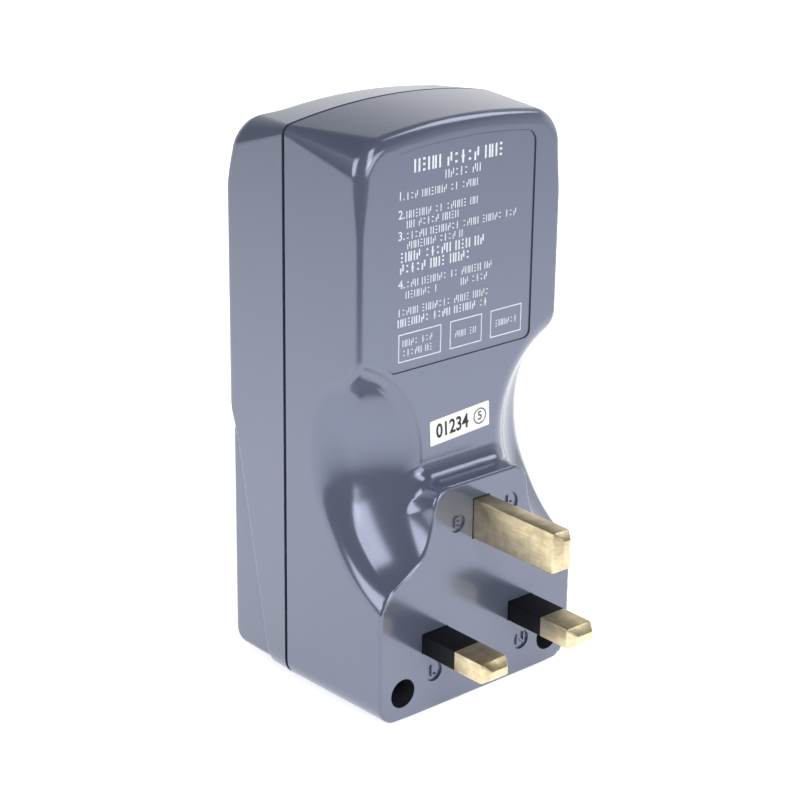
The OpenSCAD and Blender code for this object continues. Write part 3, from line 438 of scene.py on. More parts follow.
def as_object(name: str, bm: bmesh.types.BMesh) -> bpy.types.Object:
    """Puts a mesh in millimetres into the scene as an object in metres.

    Args:
        name: Object name.
        bm: Mesh, which is freed.

    Returns:
        The object, at the origin.
    """
    mesh = bpy.data.meshes.new(name)
    bmesh.ops.scale(bm, verts=bm.verts, vec=(MM, MM, MM))
    bm.to_mesh(mesh)
    bm.free()
    made = bpy.data.objects.new(name, mesh)
    bpy.context.scene.collection.objects.link(made)
    return made


def shape_with(target: bpy.types.Object, tool: bmesh.types.BMesh, operation: str) -> None:
    """Joins a tool to a piece or cuts it out, and drops the tool.

    Args:
        target: Piece to change.
        tool: Closed mesh in millimetres.
        operation: UNION or DIFFERENCE.
    """
    holder = as_object("tool", tool)
    change = target.modifiers.new("tool", "BOOLEAN")
    change.operation, change.solver, change.object = operation, "EXACT", holder
    done = bpy.data.meshes.new_from_object(target.evaluated_get(bpy.context.evaluated_depsgraph_get()))
    target.modifiers.clear()
    sewn = bmesh.new()
    sewn.from_mesh(done)
    slits = [e for e in sewn.edges if e.is_boundary]
    if slits:
        bmesh.ops.holes_fill(sewn, edges=slits, sides=4)
        sewn.to_mesh(done)
    sewn.free()
    old, target.data = target.data, done
    bpy.data.meshes.remove(old)
    bpy.data.objects.remove(holder)


def coat(piece: bpy.types.Object, finish: Finish, replaced: Iterable[str], sharp: float) -> None:
    """Gives a piece its finish and hides the CAD nodes that it stands for.

    Args:
        piece: Finished mesh object.
        finish: Material to use.
        replaced: CAD nodes that it stands for.
        sharp: Angle past which an edge stays sharp, in degrees.
    """
    piece.data.materials.clear()
    piece.data.materials.append(finish.material())
    piece.data.shade_smooth()
    piece.data.set_sharp_from_angle(angle=math.radians(sharp))
    if replaced:
        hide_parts(*replaced)
    LOG.info("%s: %d faces", piece.name, len(piece.data.polygons))


def dress(piece: bpy.types.Object, finish: Finish, replaced: Iterable[str] = (),
          body: str = CASE_BODY, sharp: float = 35.0) -> None:
    """Coats a piece that rides on one body.

    Args:
        piece: Finished mesh object.
        finish: Material to use.
        replaced: CAD nodes that it stands for.
        body: CAD body that it rides on.
        sharp: Angle past which an edge stays sharp, in degrees.
    """
    coat(piece, finish, replaced, sharp)
    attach(piece, body)


@dataclass
class CaseForm:
    """Outer form that both shells share."""

    half_w: float = 25.5
    base: float = -14.5
    arch_r: float = 127.0
    arch_z: float = -29.0
    corner_r: float = 1.4
    corner_grow: float = 0.24
    base_r: float = 4.5
    seam: float = -27.0
    draft: float = math.radians(1.75)
    front_fall: float = 0.105
    wall: float = 2.2
    least_corner: float = 0.5
    least_edge: float = 0.4

    def outline(self, p: np.ndarray, inset: float) -> np.ndarray:
        """Field of the drafted sides, arched top and base; the top corners grow rounder away from the seam.

        Args:
            p: Points.
            inset: Distance that the form is set in.

        Returns:
            Field values.
        """
        x, z = np.abs(p[:, 0]), p[:, 2]
        away = np.abs(p[:, 1] - self.seam)
        side = (x - self.half_w + math.tan(self.draft) * away) * math.cos(self.draft) + inset
        lean = np.where(p[:, 1] < self.seam, self.front_fall, math.tan(self.draft)) * away
        arch = (np.hypot(x, z - self.arch_z) - self.arch_r + lean) * math.cos(self.draft) + inset
        r = np.maximum(self.corner_r + self.corner_grow * away - inset, self.least_corner)
        foot_r = max(self.base_r - inset, self.least_edge)
        return keep_both(keep_both(side, arch, r), self.base - z + inset, foot_r)


@dataclass
class Shell:
    """A moulded case half: a dense skin settled on a field, and an inner wall bridged to it at the seam.

    A pair that ends in _x, _y or _z says between which places a size eases from one value to the next.
    """

    name: str
    node: str
    rim: float
    far: float
    form: CaseForm = field(default_factory=CaseForm)
    cells: tuple[int, int, int] = (14, 7, 30)
    rounds: tuple[int, ...] = (90, 45, 25, 14)
    last_rounds: int = 5
    lip_rounds: int = 6
    slope_step: float = 0.01
    longest_step: float = 3.0
    least_slope: float = 0.2
    least_facing: float = 0.5
    tiny: float = 0.01
    sharp: float = 40.0
    in_wall: float = 1.1
    in_face: float = 1.5

    def value(self, p: np.ndarray, inset: float) -> np.ndarray:
        """Field of this half; each half gives its own.

        Args:
            p: Points.
            inset: Distance that the form is set in.

        Returns:
            Field values, below zero in the material.
        """
        raise NotImplementedError

    def crowd(self, p: np.ndarray) -> np.ndarray:
        """Share of points that each place draws; evenly, unless a half gives its own.

        Args:
            p: Points.

        Returns:
            One weight for each point.
        """
        return np.ones(len(p))

    def slope(self, p: np.ndarray, inset: float) -> tuple[np.ndarray, np.ndarray]:
        """Field and its gradient.

        Args:
            p: Points.
            inset: Distance that the form is set in.

        Returns:
            Values and gradients.
        """
        f = self.value(p, inset)
        step = np.eye(3) * self.slope_step
        return f, np.stack([(self.value(p + s, inset) - f) / self.slope_step for s in step], 1)

    def settle_points(self, p: np.ndarray, inset: float, rim: np.ndarray, depth: float) -> np.ndarray:
        """Moves points onto the field, those on the rim within their own depth.

        Args:
            p: Points.
            inset: Distance that the form is set in.
            rim: True for points on the rim.
            depth: Y of the rim.

        Returns:
            Moved points.
        """
        p[rim, 1] = depth
        f, g = self.slope(p, inset)
        g[rim, 1] = 0
        move = g * (f / np.maximum((g * g).sum(1), self.least_slope))[:, None]
        length = np.linalg.norm(move, axis=1, keepdims=True)
        return p - move * np.minimum(1, self.longest_step / np.maximum(length, 1e-9))

    def settle(self, bm: bmesh.types.BMesh, inset: float, rounds: int, depth: float) -> None:
        """Evens out a skin while it is held on the field.

        Args:
            bm: Skin.
            inset: Distance that the form is set in.
            rounds: Times that the points are evened out.
            depth: Y of the rim.
        """
        bm.verts.index_update()
        p = np.array([v.co for v in bm.verts])
        ends = np.array([[v.index for v in e.verts] for e in bm.edges])
        rim = np.array([v.is_boundary for v in bm.verts])
        one, other = ends[:, 0], ends[:, 1]
        for _ in range(rounds):
            pull = self.crowd(p)
            count = np.bincount(one, pull[other], len(p)) + np.bincount(other, pull[one], len(p))
            drawn = p * pull[:, None]
            total = np.stack([np.bincount(one, drawn[other, k], len(p)) +
                              np.bincount(other, drawn[one, k], len(p)) for k in range(3)], 1)
            p = self.settle_points(total / count[:, None], inset, rim, depth)
        for _ in range(self.last_rounds):
            p = self.settle_points(p, inset, rim, depth)
        for v, co in zip(bm.verts, p):
            v.co = co

    def skin(self, inset: float, depth: float, levels: int) -> bmesh.types.BMesh:
        """Makes a skin from a box that is open at the seam.

        Args:
            inset: Distance that the form is set in.
            depth: Y of the open rim.
            levels: Times that the skin is settled; it is divided between them.

        Returns:
            The skin as an open mesh.
        """
        bm = bmesh.new()
        form = self.form
        low = (-form.half_w, min(depth, self.far), form.base)
        high = (form.half_w, max(depth, self.far), form.arch_z + form.arch_r)
        bar(bm, low, high)
        open_side = [f for f in bm.faces if abs(f.calc_center_median().y - depth) < self.tiny]
        bmesh.ops.delete(bm, geom=open_side, context="FACES")
        for axis, cells in enumerate(self.cells):
            runs = [(e, e.verts[0].co - e.verts[1].co) for e in bm.edges]
            along = [e for e, run in runs if abs(run[axis]) > self.tiny and
                     run.length - abs(run[axis]) < self.tiny / 10]
            bmesh.ops.subdivide_edges(bm, edges=along, cuts=cells - 1, use_grid_fill=True)
        for level in range(levels):
            if level:
                bmesh.ops.subdivide_edges(bm, edges=bm.edges, cuts=1, use_grid_fill=True)
            self.settle(bm, inset, self.rounds[level], depth)
        return bm

    def lip(self, bm: bmesh.types.BMesh, steps: Sequence[tuple[float, float]]) -> None:
        """Carries the rim on through loops at a given inset and depth.

        Args:
            bm: Skin with an open rim.
            steps: Inset and Y of each loop.
        """
        for inset, depth in steps:
            edges = [e for e in bm.edges if e.is_boundary]
            made = bmesh.ops.extrude_edge_only(bm, edges=edges)["geom"]
            verts = [v for v in made if isinstance(v, bmesh.types.BMVert)]
            p = np.array([v.co for v in verts])
            for _ in range(self.lip_rounds):
                p = self.settle_points(p, inset, np.ones(len(p), bool), depth)
            for v, co in zip(verts, p):
                v.co = co

    def closed(self, steps: Sequence[tuple[float, float]], inner_depth: float) -> bpy.types.Object:
        """Joins skin, lip and inner wall into one closed shell.

        Args:
            steps: Loops of the lip.
            inner_depth: Y of the inner wall's rim.

        Returns:
            The shell as an object.
        """
        bm = self.skin(0.0, self.rim, len(self.rounds))
        self.lip(bm, steps)
        inner = self.skin(self.form.wall, inner_depth, len(self.rounds) - 1)
        bmesh.ops.reverse_faces(inner, faces=inner.faces)
        add_mesh(bm, inner)
        bmesh.ops.bridge_loops(bm, edges=[e for e in bm.edges if e.is_boundary])
        bmesh.ops.recalc_face_normals(bm, faces=bm.faces)
        return as_object(self.name, bm)

    def true_normals(self, piece: bpy.types.Object) -> None:
        """Takes the skin's normals from the field, so that reflections run smoothly over it.

        Args:
            piece: The finished shell.
        """
        mesh = piece.data
        p = np.array([v.co for v in mesh.vertices]) / MM
        f, g = self.slope(p, 0.0)
        g /= np.maximum(np.linalg.norm(g, axis=1, keepdims=True), 1e-9)
        corner = np.array([l.vertex_index for l in mesh.loops])
        start = np.array([q.loop_start for q in mesh.polygons])
        total = np.array([q.loop_total for q in mesh.polygons])
        facing = np.array([q.normal for q in mesh.polygons])
        owner = np.repeat(np.arange(len(start)), total)
        outward = (g[corner] * facing[owner]).sum(1) > self.least_facing
        good = outward & (np.abs(f[corner]) < 2 * self.tiny)
        whole = np.bincount(owner, good, len(start)) == total
        mesh.normals_split_custom_set(np.where(whole[owner][:, None], g[corner], 0.0).tolist())


@dataclass
class RearShell(Shell):
    """Rear half: label plane, finger scoops and the plug block with its face."""

    name: str = "rear_shell"
    node: str = "rear_case"
    rim: float = -26.6
    far: float = 0.0
    cells: tuple[int, int, int] = (18, 5, 33)
    back: float = BACK
    face_t: float = 3.0
    face_edge: float = 0.5
    tower_half: float = 12.0
    tower_top: float = 30.3
    tower_r: float = 4.25
    tower_flare: float = 0.45
    flare_z: tuple[float, float] = (18.0, 27.0)
    block_top: float = 26.0
    step_r: float = 1.0
    root_r: float = 3.2
    scoop: tuple[float, float, float] = (31.4, 10.9, 35.2)
    scoop_r: float = 26.75
    scoop_edge: float = 1.6
    scoop_crisp_y: tuple[float, float] = (-6.0, -2.0)
    side_edge: tuple[float, float, float] = (0.45, 0.75, 1.3)
    side_edge_z: tuple[tuple[float, float], ...] = ((46.0, 56.0), (78.0, 90.0))
    grip_edge: tuple[float, float] = (3.0, 1.2)
    grip_edge_z: tuple[tuple[float, float], ...] = ((4.0, 10.0), (20.0, 30.0), (47.0, 54.0))
    dense: float = 1.2
    dense_z: tuple[float, float] = (32.0, 46.0)
    dense_y: tuple[float, float] = (-16.0, -6.0)
    hole_r: float = 2.9
    shank_r: float = 1.6
    boss_r: float = 4.6
    boss_end: float = -22.0
    seat: float = -20.0
    board_posts: tuple[tuple[float, float], ...] = ((18.2, 56.5), (18.2, 77.0))
    board_post_r: float = 2.3
    board_post_end: float = -11.0
    label_skin: float = 0.35
    past: float = 0.5
    cut: tuple[float, float] = (-4.0, 1.0)
    pin_hole: tuple[float, float] = (3.27, 2.08)
    earth_hole: tuple[float, float] = (2.14, 4.13)
    recess: tuple[float, float] = (1.2, 0.8)

    def value(self, p: np.ndarray, inset: float) -> np.ndarray:
        """Field of the rear half.

        Args:
            p: Points.
            inset: Distance that the form is set in.

        Returns:
            Field values, below zero in the material.
        """
        x, y, z = np.abs(p[:, 0]), p[:, 1], p[:, 2]
        half = self.tower_half + self.tower_flare * (1 - ease(*self.flare_z, z))
        tower = keep_both(x - half, z - self.tower_top, self.tower_r) + inset
        body = join_both(y - self.back + inset, z - self.block_top + inset, self.step_r)
        span = np.linalg.norm(np.stack((x, y, z), 1) - self.scoop, axis=1)
        scoop_edge = self.scoop_edge - ease(*self.scoop_crisp_y, y)
        body = keep_both(body, self.scoop_r + inset - span, scoop_edge)
        body = join_both(body, tower, self.root_r)
        (low, high), (low_z, high_z, end_z) = self.grip_edge, self.grip_edge_z
        grip = (low * ease(*low_z, z) + high * ease(*high_z, z)) * (1 - ease(*end_z, z))
        (least, middle, upper), (middle_z, upper_z) = self.side_edge, self.side_edge_z
        edge = least + middle * ease(*middle_z, z) + upper * ease(*upper_z, z) + grip
        least_edge = self.form.least_edge
        body = keep_both(body, self.form.outline(p, inset), np.maximum(edge - inset, least_edge))
        return keep_both(body, y + (self.face_t if inset else 0.0), self.face_edge)

    def crowd(self, p: np.ndarray) -> np.ndarray:
        """More points on the plug block and the scoops; takes what Shell.crowd takes."""
        return 1 + self.dense * (1 - ease(*self.dense_z, p[:, 2])) * ease(*self.dense_y, p[:, 1])

    def build(self) -> None:
        """Builds the shell with its bosses, holes, recess and hollows."""
        shell = self.closed((), self.rim)
        bosses, holes, recess = bmesh.new(), bmesh.new(), bmesh.new()
        wall, under = self.back - self.in_wall, self.back - self.label_skin
        for s in (-1, 1):
            for (x, z), root in ((LOW_SCREWS, -self.in_face), (HIGH_SCREWS, wall)):
                rod(bosses, s * x, z, root, self.boss_end, self.boss_r)
            for x, z in self.board_posts:
                rod(bosses, s * x, z, wall, self.board_post_end, self.board_post_r, 24)
        shape_with(shell, bosses, "UNION")
        (near, out), (pin_w, pin_h), (earth_w, earth_h) = self.cut, self.pin_hole, self.earth_hole
        for s in (-1, 1):
            for (x, z), mouth, sides in ((LOW_SCREWS, out, 64), (HIGH_SCREWS, under, 48)):
                rod(holes, s * x, z, mouth, self.seat, self.hole_r, sides)
                rod(holes, s * x, z, self.seat + self.past, self.boss_end - 2 * self.past, self.shank_r)
            bar(holes, (s * PIN_X - pin_w, near, -pin_h), (s * PIN_X + pin_w, out, pin_h))
        bar(holes, (-earth_w, near, EARTH_Z - earth_h), (earth_w, out, EARTH_Z + earth_h))
        shape_with(shell, holes, "DIFFERENCE")
        panel = RatingPanel()
        depth, above = self.recess
        plate(recess, panel.points(0.0), panel.corners(), depth, facing_back(0, self.back + above, 0))
        for _, x, z, size in TerminalMarks.places:
            rod(recess, x, z, self.past, -TerminalMarks.depth, size / 2)
        shape_with(shell, recess, "DIFFERENCE")
        dress(shell, CASE_ABS, [self.node], sharp=self.sharp)
        self.true_normals(shell)
        # Painted shade: the screw bores get a dark colour in place of the shade in the deep holes
        self.paint_bore_shade(shell)

    def paint_bore_shade(self, shell: bpy.types.Object) -> None:
        """Paints shade into the screw bores with a darker finish that stands for the shade down them.

        Args:
            shell: The finished shell.
        """
        # Painted shade: the bore walls take a dark colour that stands in for the shade in the holes
        shell.data.materials.append(BORE_PAINTED_SHADE.material())
        for f in shell.data.polygons:
            x, y, z = f.center / MM
            off = min(math.hypot(abs(x) - u, z - v) for u, v in (LOW_SCREWS, HIGH_SCREWS))
            if off < self.hole_r + 2 * self.tiny and y > self.boss_end and abs(f.normal.y) < 0.98:
                f.material_index = 1


@dataclass
class FrontShell(Shell):
    """Front half: arched top, button field, and the socket block standing out of the slope."""

    name: str = "front_shell"
    node: str = "front_case"
    rim: float = -27.4
    far: float = FRONT
    cells: tuple[int, int, int] = (14, 5, 30)
    front: float = FRONT
    front_edge: float = 2.0
    crown: float = 8.0
    crown_z: tuple[float, float] = (80.0, 93.0)
    crown_less: float = 0.55
    crown_less_x: tuple[float, float] = (16.0, 25.5)
    step_way: tuple[float, float] = (-0.887, -0.462)
    step_up: float = 4.8
    slope_way: tuple[float, float] = (-0.977, -0.2135)
    slope_from: float = -43.25
    step_r: float = 0.8
    socket_face: float = -45.05
    socket_half: float = 24.3
    socket_top: float = 33.7
    socket_low: float = -12.9
    socket_t: float = 3.0
    socket_edges: tuple[float, float, float] = (3.0, 1.5, 1.2)
    socket_least: float = 0.3
    socket_root: tuple[float, float] = (0.25, 0.55)
    socket_root_z: tuple[float, float] = (8.0, 30.0)
    lip_in: tuple[float, float] = (2.25, 3.35)
    lip_y: tuple[float, float] = (-25.0, -28.1)
    post_end: float = -22.05
    post_r: float = 3.25
    base_posts: tuple[tuple[float, float], ...] = ((16.0, 15.0), (16.0, 32.0))
    base_post_end: float = -24.65
    base_post_r: float = 2.5
    thread_y: tuple[float, float] = (-21.0, -37.0)
    thread_r: float = 1.5
    cut: tuple[float, float] = (-47.0, -41.2)
    cut_depth: float = 6.0
    slot: tuple[float, float] = (3.6, 2.4)
    earth_slot: tuple[float, float] = (2.4, 4.4)
    slot_edge: float = 0.25
    button_hole: tuple[float, float, float] = (14.6, 16.6, 3.3)
    window_hole: tuple[float, float, float] = (9.1, 3.3, 0.8)

    def value(self, p: np.ndarray, inset: float) -> np.ndarray:
        """Field of the front half.

        Args:
            p: Points.
            inset: Distance that the form is set in.

        Returns:
            Field values, below zero in the material.
        """
        x, y, z = np.abs(p[:, 0]), p[:, 1], p[:, 2]
        least, outline = self.form.least_edge, self.form.outline(p, inset)
        crown = self.crown * ease(*self.crown_z, z) * (1 - self.crown_less * ease(*self.crown_less_x, x))
        edge = np.maximum(self.front_edge + crown - inset, least)
        body = keep_both(outline, self.front - y + inset, edge)
        (step_y, step_z), (slope_y, slope_z) = self.step_way, self.slope_way
        step = step_y * (y - self.front) + step_z * (z - self.socket_top - self.step_up) + inset
        slope = slope_y * (y - self.slope_from) + slope_z * (z - self.socket_top) + inset
        body = keep_both(body, join_both(step, slope, self.step_r), self.step_r)
        low_r, top_r, side_r = self.socket_edges
        face = self.socket_face - y + (self.socket_t if inset else 0.0)
        low = keep_both(face, self.socket_low - z + inset, max(low_r - inset, least))
        block = keep_both(low, z - self.socket_top + inset, max(top_r - inset, self.socket_least))
        block = keep_both(block, x - self.socket_half + inset, max(side_r - inset, self.socket_least))
        block = keep_both(block, outline, least)
        root, more = self.socket_root
        return join_both(body, block, root + more * (1 - ease(*self.socket_root_z, z)))

    def build(self) -> None:
        """Builds the shell with its lip, posts and apertures."""
        (outer, inner), (top, foot) = self.lip_in, self.lip_y
        shell = self.closed(((outer, self.rim), (outer, top), (inner, top), (inner, foot)), foot)
        posts, holes = bmesh.new(), bmesh.new()
        near, deep = self.cut
        slot_w, slot_h = self.slot
        in_wall, in_face = self.front + self.in_wall, self.socket_face + self.in_face
        for s in (-1, 1):
            for (x, z), root in ((HIGH_SCREWS, in_wall), (LOW_SCREWS, in_face)):
                rod(posts, s * x, z, self.post_end, root, self.post_r)
                rod(holes, s * x, z, *self.thread_y, self.thread_r, 24)
            for x, z in self.base_posts:
                rod(posts, s * x, z, self.base_post_end, in_face, self.base_post_r, 24)
            x = s * PIN_X
            bar(holes, (x - slot_w, near, -slot_h), (x + slot_w, deep, slot_h), self.slot_edge)
            self.opening(holes, self.button_hole, s * BUTTON_X, BUTTON_Z)
        slot_w, slot_h = self.earth_slot
        bar(holes, (-slot_w, near, EARTH_Z - slot_h), (slot_w, deep, EARTH_Z + slot_h), self.slot_edge)
        self.opening(holes, self.window_hole, -BUTTON_X, WINDOW_Z)
        shape_with(shell, posts, "UNION")
        shape_with(shell, holes, "DIFFERENCE")
        dress(shell, CASE_ABS, [self.node], sharp=self.sharp)
        self.true_normals(shell)

    def opening(self, bm: bmesh.types.BMesh, hole: tuple[float, float, float], x: float, z: float) -> None:
        """Adds the cutter of a rounded opening in the front.

        Args:
            bm: Mesh to add to.
            hole: Width, height and corner radius.
            x: Sideways place.
            z: Height.
        """
        width, height, r = hole
        place = facing_front(x, self.cut[0], z)
        plate(bm, rectangle(width, height), dict.fromkeys(range(4), r), self.cut_depth, place)


@dataclass
class TerminalMarks:
    """Terminal letters and the earth sign, standing in round hollows of the plug face."""

    depth: float = 0.45
    top: float = -0.06
    places: tuple[tuple[str, float, float, float], ...] = (
        ("E", 6.0, 22.4, 3.7), ("", -7.2, 22.8, 4.8), ("L", 11.2, -6.7, 4.0), ("N", -11.7, -7.3, 4.0))
    letter: float = 0.8
    stroke: float = 0.34
    stem: float = 1.5
    bars: tuple[float, ...] = (1.2, 0.8, 0.4)
    bar_step: float = 0.55

    def build(self) -> None:
        """Builds the four signs as one piece."""
        bm = bmesh.new()
        half, foot, tall = self.stroke / 2, -self.depth, self.depth + self.top
        for sign, x, z, size in self.places:
            if sign:
                letters(bm, sign, size * self.letter, tall, facing_back(x, (self.top + foot) / 2, z), 0.01)
                continue
            bar(bm, (x - half, foot, z), (x + half, self.top, z + self.stem))
            for i, w in enumerate(self.bars):
                level = z - self.bar_step * i
                bar(bm, (x - w, foot, level - half), (x + w, self.top, level + half))
        dress(as_object("terminal_marks", bm), CASE_ABS)


@dataclass
class PlugPins:
    """Earth, line and neutral pins with their tapered tips, and the sleeves."""

    thick: float = 3.97
    wide: float = 6.35
    tall: float = 7.94
    pin_len: float = 17.73
    earth_len: float = 22.73
    sleeve_len: float = 8.9
    sleeve_t: float = 0.7
    sleeve_gap: float = 0.05
    tip_len: float = 1.8
    tip_in: float = 1.15
    edge: float = 0.22
    tail: float = -9.0
    root: float = -3.0
    flange_y: float = -4.5
    flange_edge: float = 0.2
    flange: tuple[float, float] = (4.47, 2.98)
    earth_flange: tuple[float, float] = (3.48, 5.47)
    earth_tail: tuple[float, float] = (1.38, 2.97)

    def tapered(self, bm: bmesh.types.BMesh, x: float, z: float, size: tuple[float, float], y0: float,
                y1: float) -> None:
        """Adds a bar along Y with a tapered tip and softened edges.

        Args:
            bm: Mesh to add to.
            x: Sideways place.
            z: Height.
            size: Width and height.
            y0: Root.
            y1: Tip.
        """
        part = bmesh.new()
        w, h = size[0] / 2, size[1] / 2
        bar(part, (x - w, y0, z - h), (x + w, y1 - self.tip_len, z + h))
        end = max(part.faces, key=lambda f: f.calc_center_median().y)
        tip = raise_faces(part, [end], (0, self.tip_len, 0))
        bmesh.ops.delete(part, geom=[end], context="FACES_ONLY")
        middle = Matrix.Translation((-x, 0, -z))
        bmesh.ops.scale(part, verts=tip, vec=(1 - self.tip_in / w, 1, 1 - self.tip_in / h), space=middle)
        edges = [e for e in part.edges if max(v.co.y for v in e.verts) > y0 + 0.01]
        bmesh.ops.bevel(part, geom=edges, offset=self.edge, affect="EDGES", segments=3, profile=0.5,
                        material=-1)
        bmesh.ops.recalc_face_normals(part, faces=part.faces)
        add_mesh(bm, part)

    def build(self) -> None:
        """Builds the three pins and the two sleeves."""
        bm, tail = bmesh.new(), bmesh.new()
        self.tapered(bm, 0, EARTH_Z, (self.thick, self.tall), self.root, self.earth_len)
        earth = as_object("earth_blade", bm)
        w, h = self.earth_flange
        bar(tail, (-w, self.flange_y, EARTH_Z - h), (w, self.root + 0.02, EARTH_Z + h), self.flange_edge)
        w, h = self.earth_tail
        bar(tail, (-w, self.tail, EARTH_Z - h), (w, self.flange_y + 0.5, EARTH_Z + h))
        shape_with(earth, tail, "UNION")
        dress(earth, PIN_BRASS, ["earth_pin"])
        self.live_pin("line", PIN_X)
        self.live_pin("neutral", -PIN_X)

    def live_pin(self, name: str, x: float) -> None:
        """Builds one sleeved pin and its sleeve.

        Args:
            name: Its pole.
            x: Sideways place.
        """
        bm, core, flange, sleeve, hole = (bmesh.new() for _ in range(5))
        half_w, half_t, end = self.wide / 2, self.thick / 2, self.sleeve_len
        core_w, core_h = half_w - self.sleeve_t, half_t - self.sleeve_t
        self.tapered(bm, x, 0, (self.wide, self.thick), end, self.pin_len)
        pin = as_object(name + "_blade", bm)
        bar(core, (x - core_w, self.tail, -core_h), (x + core_w, end + 0.5, core_h))
        shape_with(pin, core, "UNION")
        w, h = self.flange
        bar(flange, (x - w, self.flange_y, -h), (x + w, self.root, h), self.flange_edge)
        shape_with(pin, flange, "UNION")
        dress(pin, PIN_BRASS, [name + "_pin"])
        bar(sleeve, (x - half_w, self.root, -half_t), (x + half_w, end, half_t), self.flange_edge, 3)
        cover = as_object(name + "_insulation", sleeve)
        w, h = core_w + self.sleeve_gap, core_h + self.sleeve_gap
        bar(hole, (x - w, self.root - 1, -h), (x + w, end + 3.1, h))
        shape_with(cover, hole, "DIFFERENCE")
        dress(cover, SLEEVE_NYLON, [name + "_sleeve"])


class Stroke(Enum):
    """Plain shapes that stand in a row in place of words, as upright and level lines in a unit cell."""

    PAIR = ((0.0, 0.0, 0.0, 1.0), (1.0, 0.0, 1.0, 1.0))
    STACK = ((0.0, 0.0, 1.0, 0.0), (0.0, 0.5, 1.0, 0.5), (0.0, 1.0, 1.0, 1.0))
    FRAME = ((0.0, 0.0, 0.0, 1.0), (1.0, 0.0, 1.0, 1.0), (0.0, 0.0, 1.0, 0.0), (0.0, 1.0, 1.0, 1.0))
    RULES = ((0.0, 0.15, 1.0, 0.15), (0.0, 0.85, 1.0, 0.85))
    STEP = ((0.2, 0.0, 0.2, 0.6), (0.9, 0.4, 0.9, 1.0))
    CROSS = ((0.5, 0.0, 0.5, 1.0), (0.0, 0.5, 0.3, 0.5), (0.7, 0.5, 1.0, 0.5))


@dataclass(frozen=True)
class PrintRow:
    """One row of the print: its ends and level on the panel, height, stroke and number."""

    left: float
    right: float
    level: float
    tall: float = 1.2
    stroke: float = 0.2
    number: int = 0


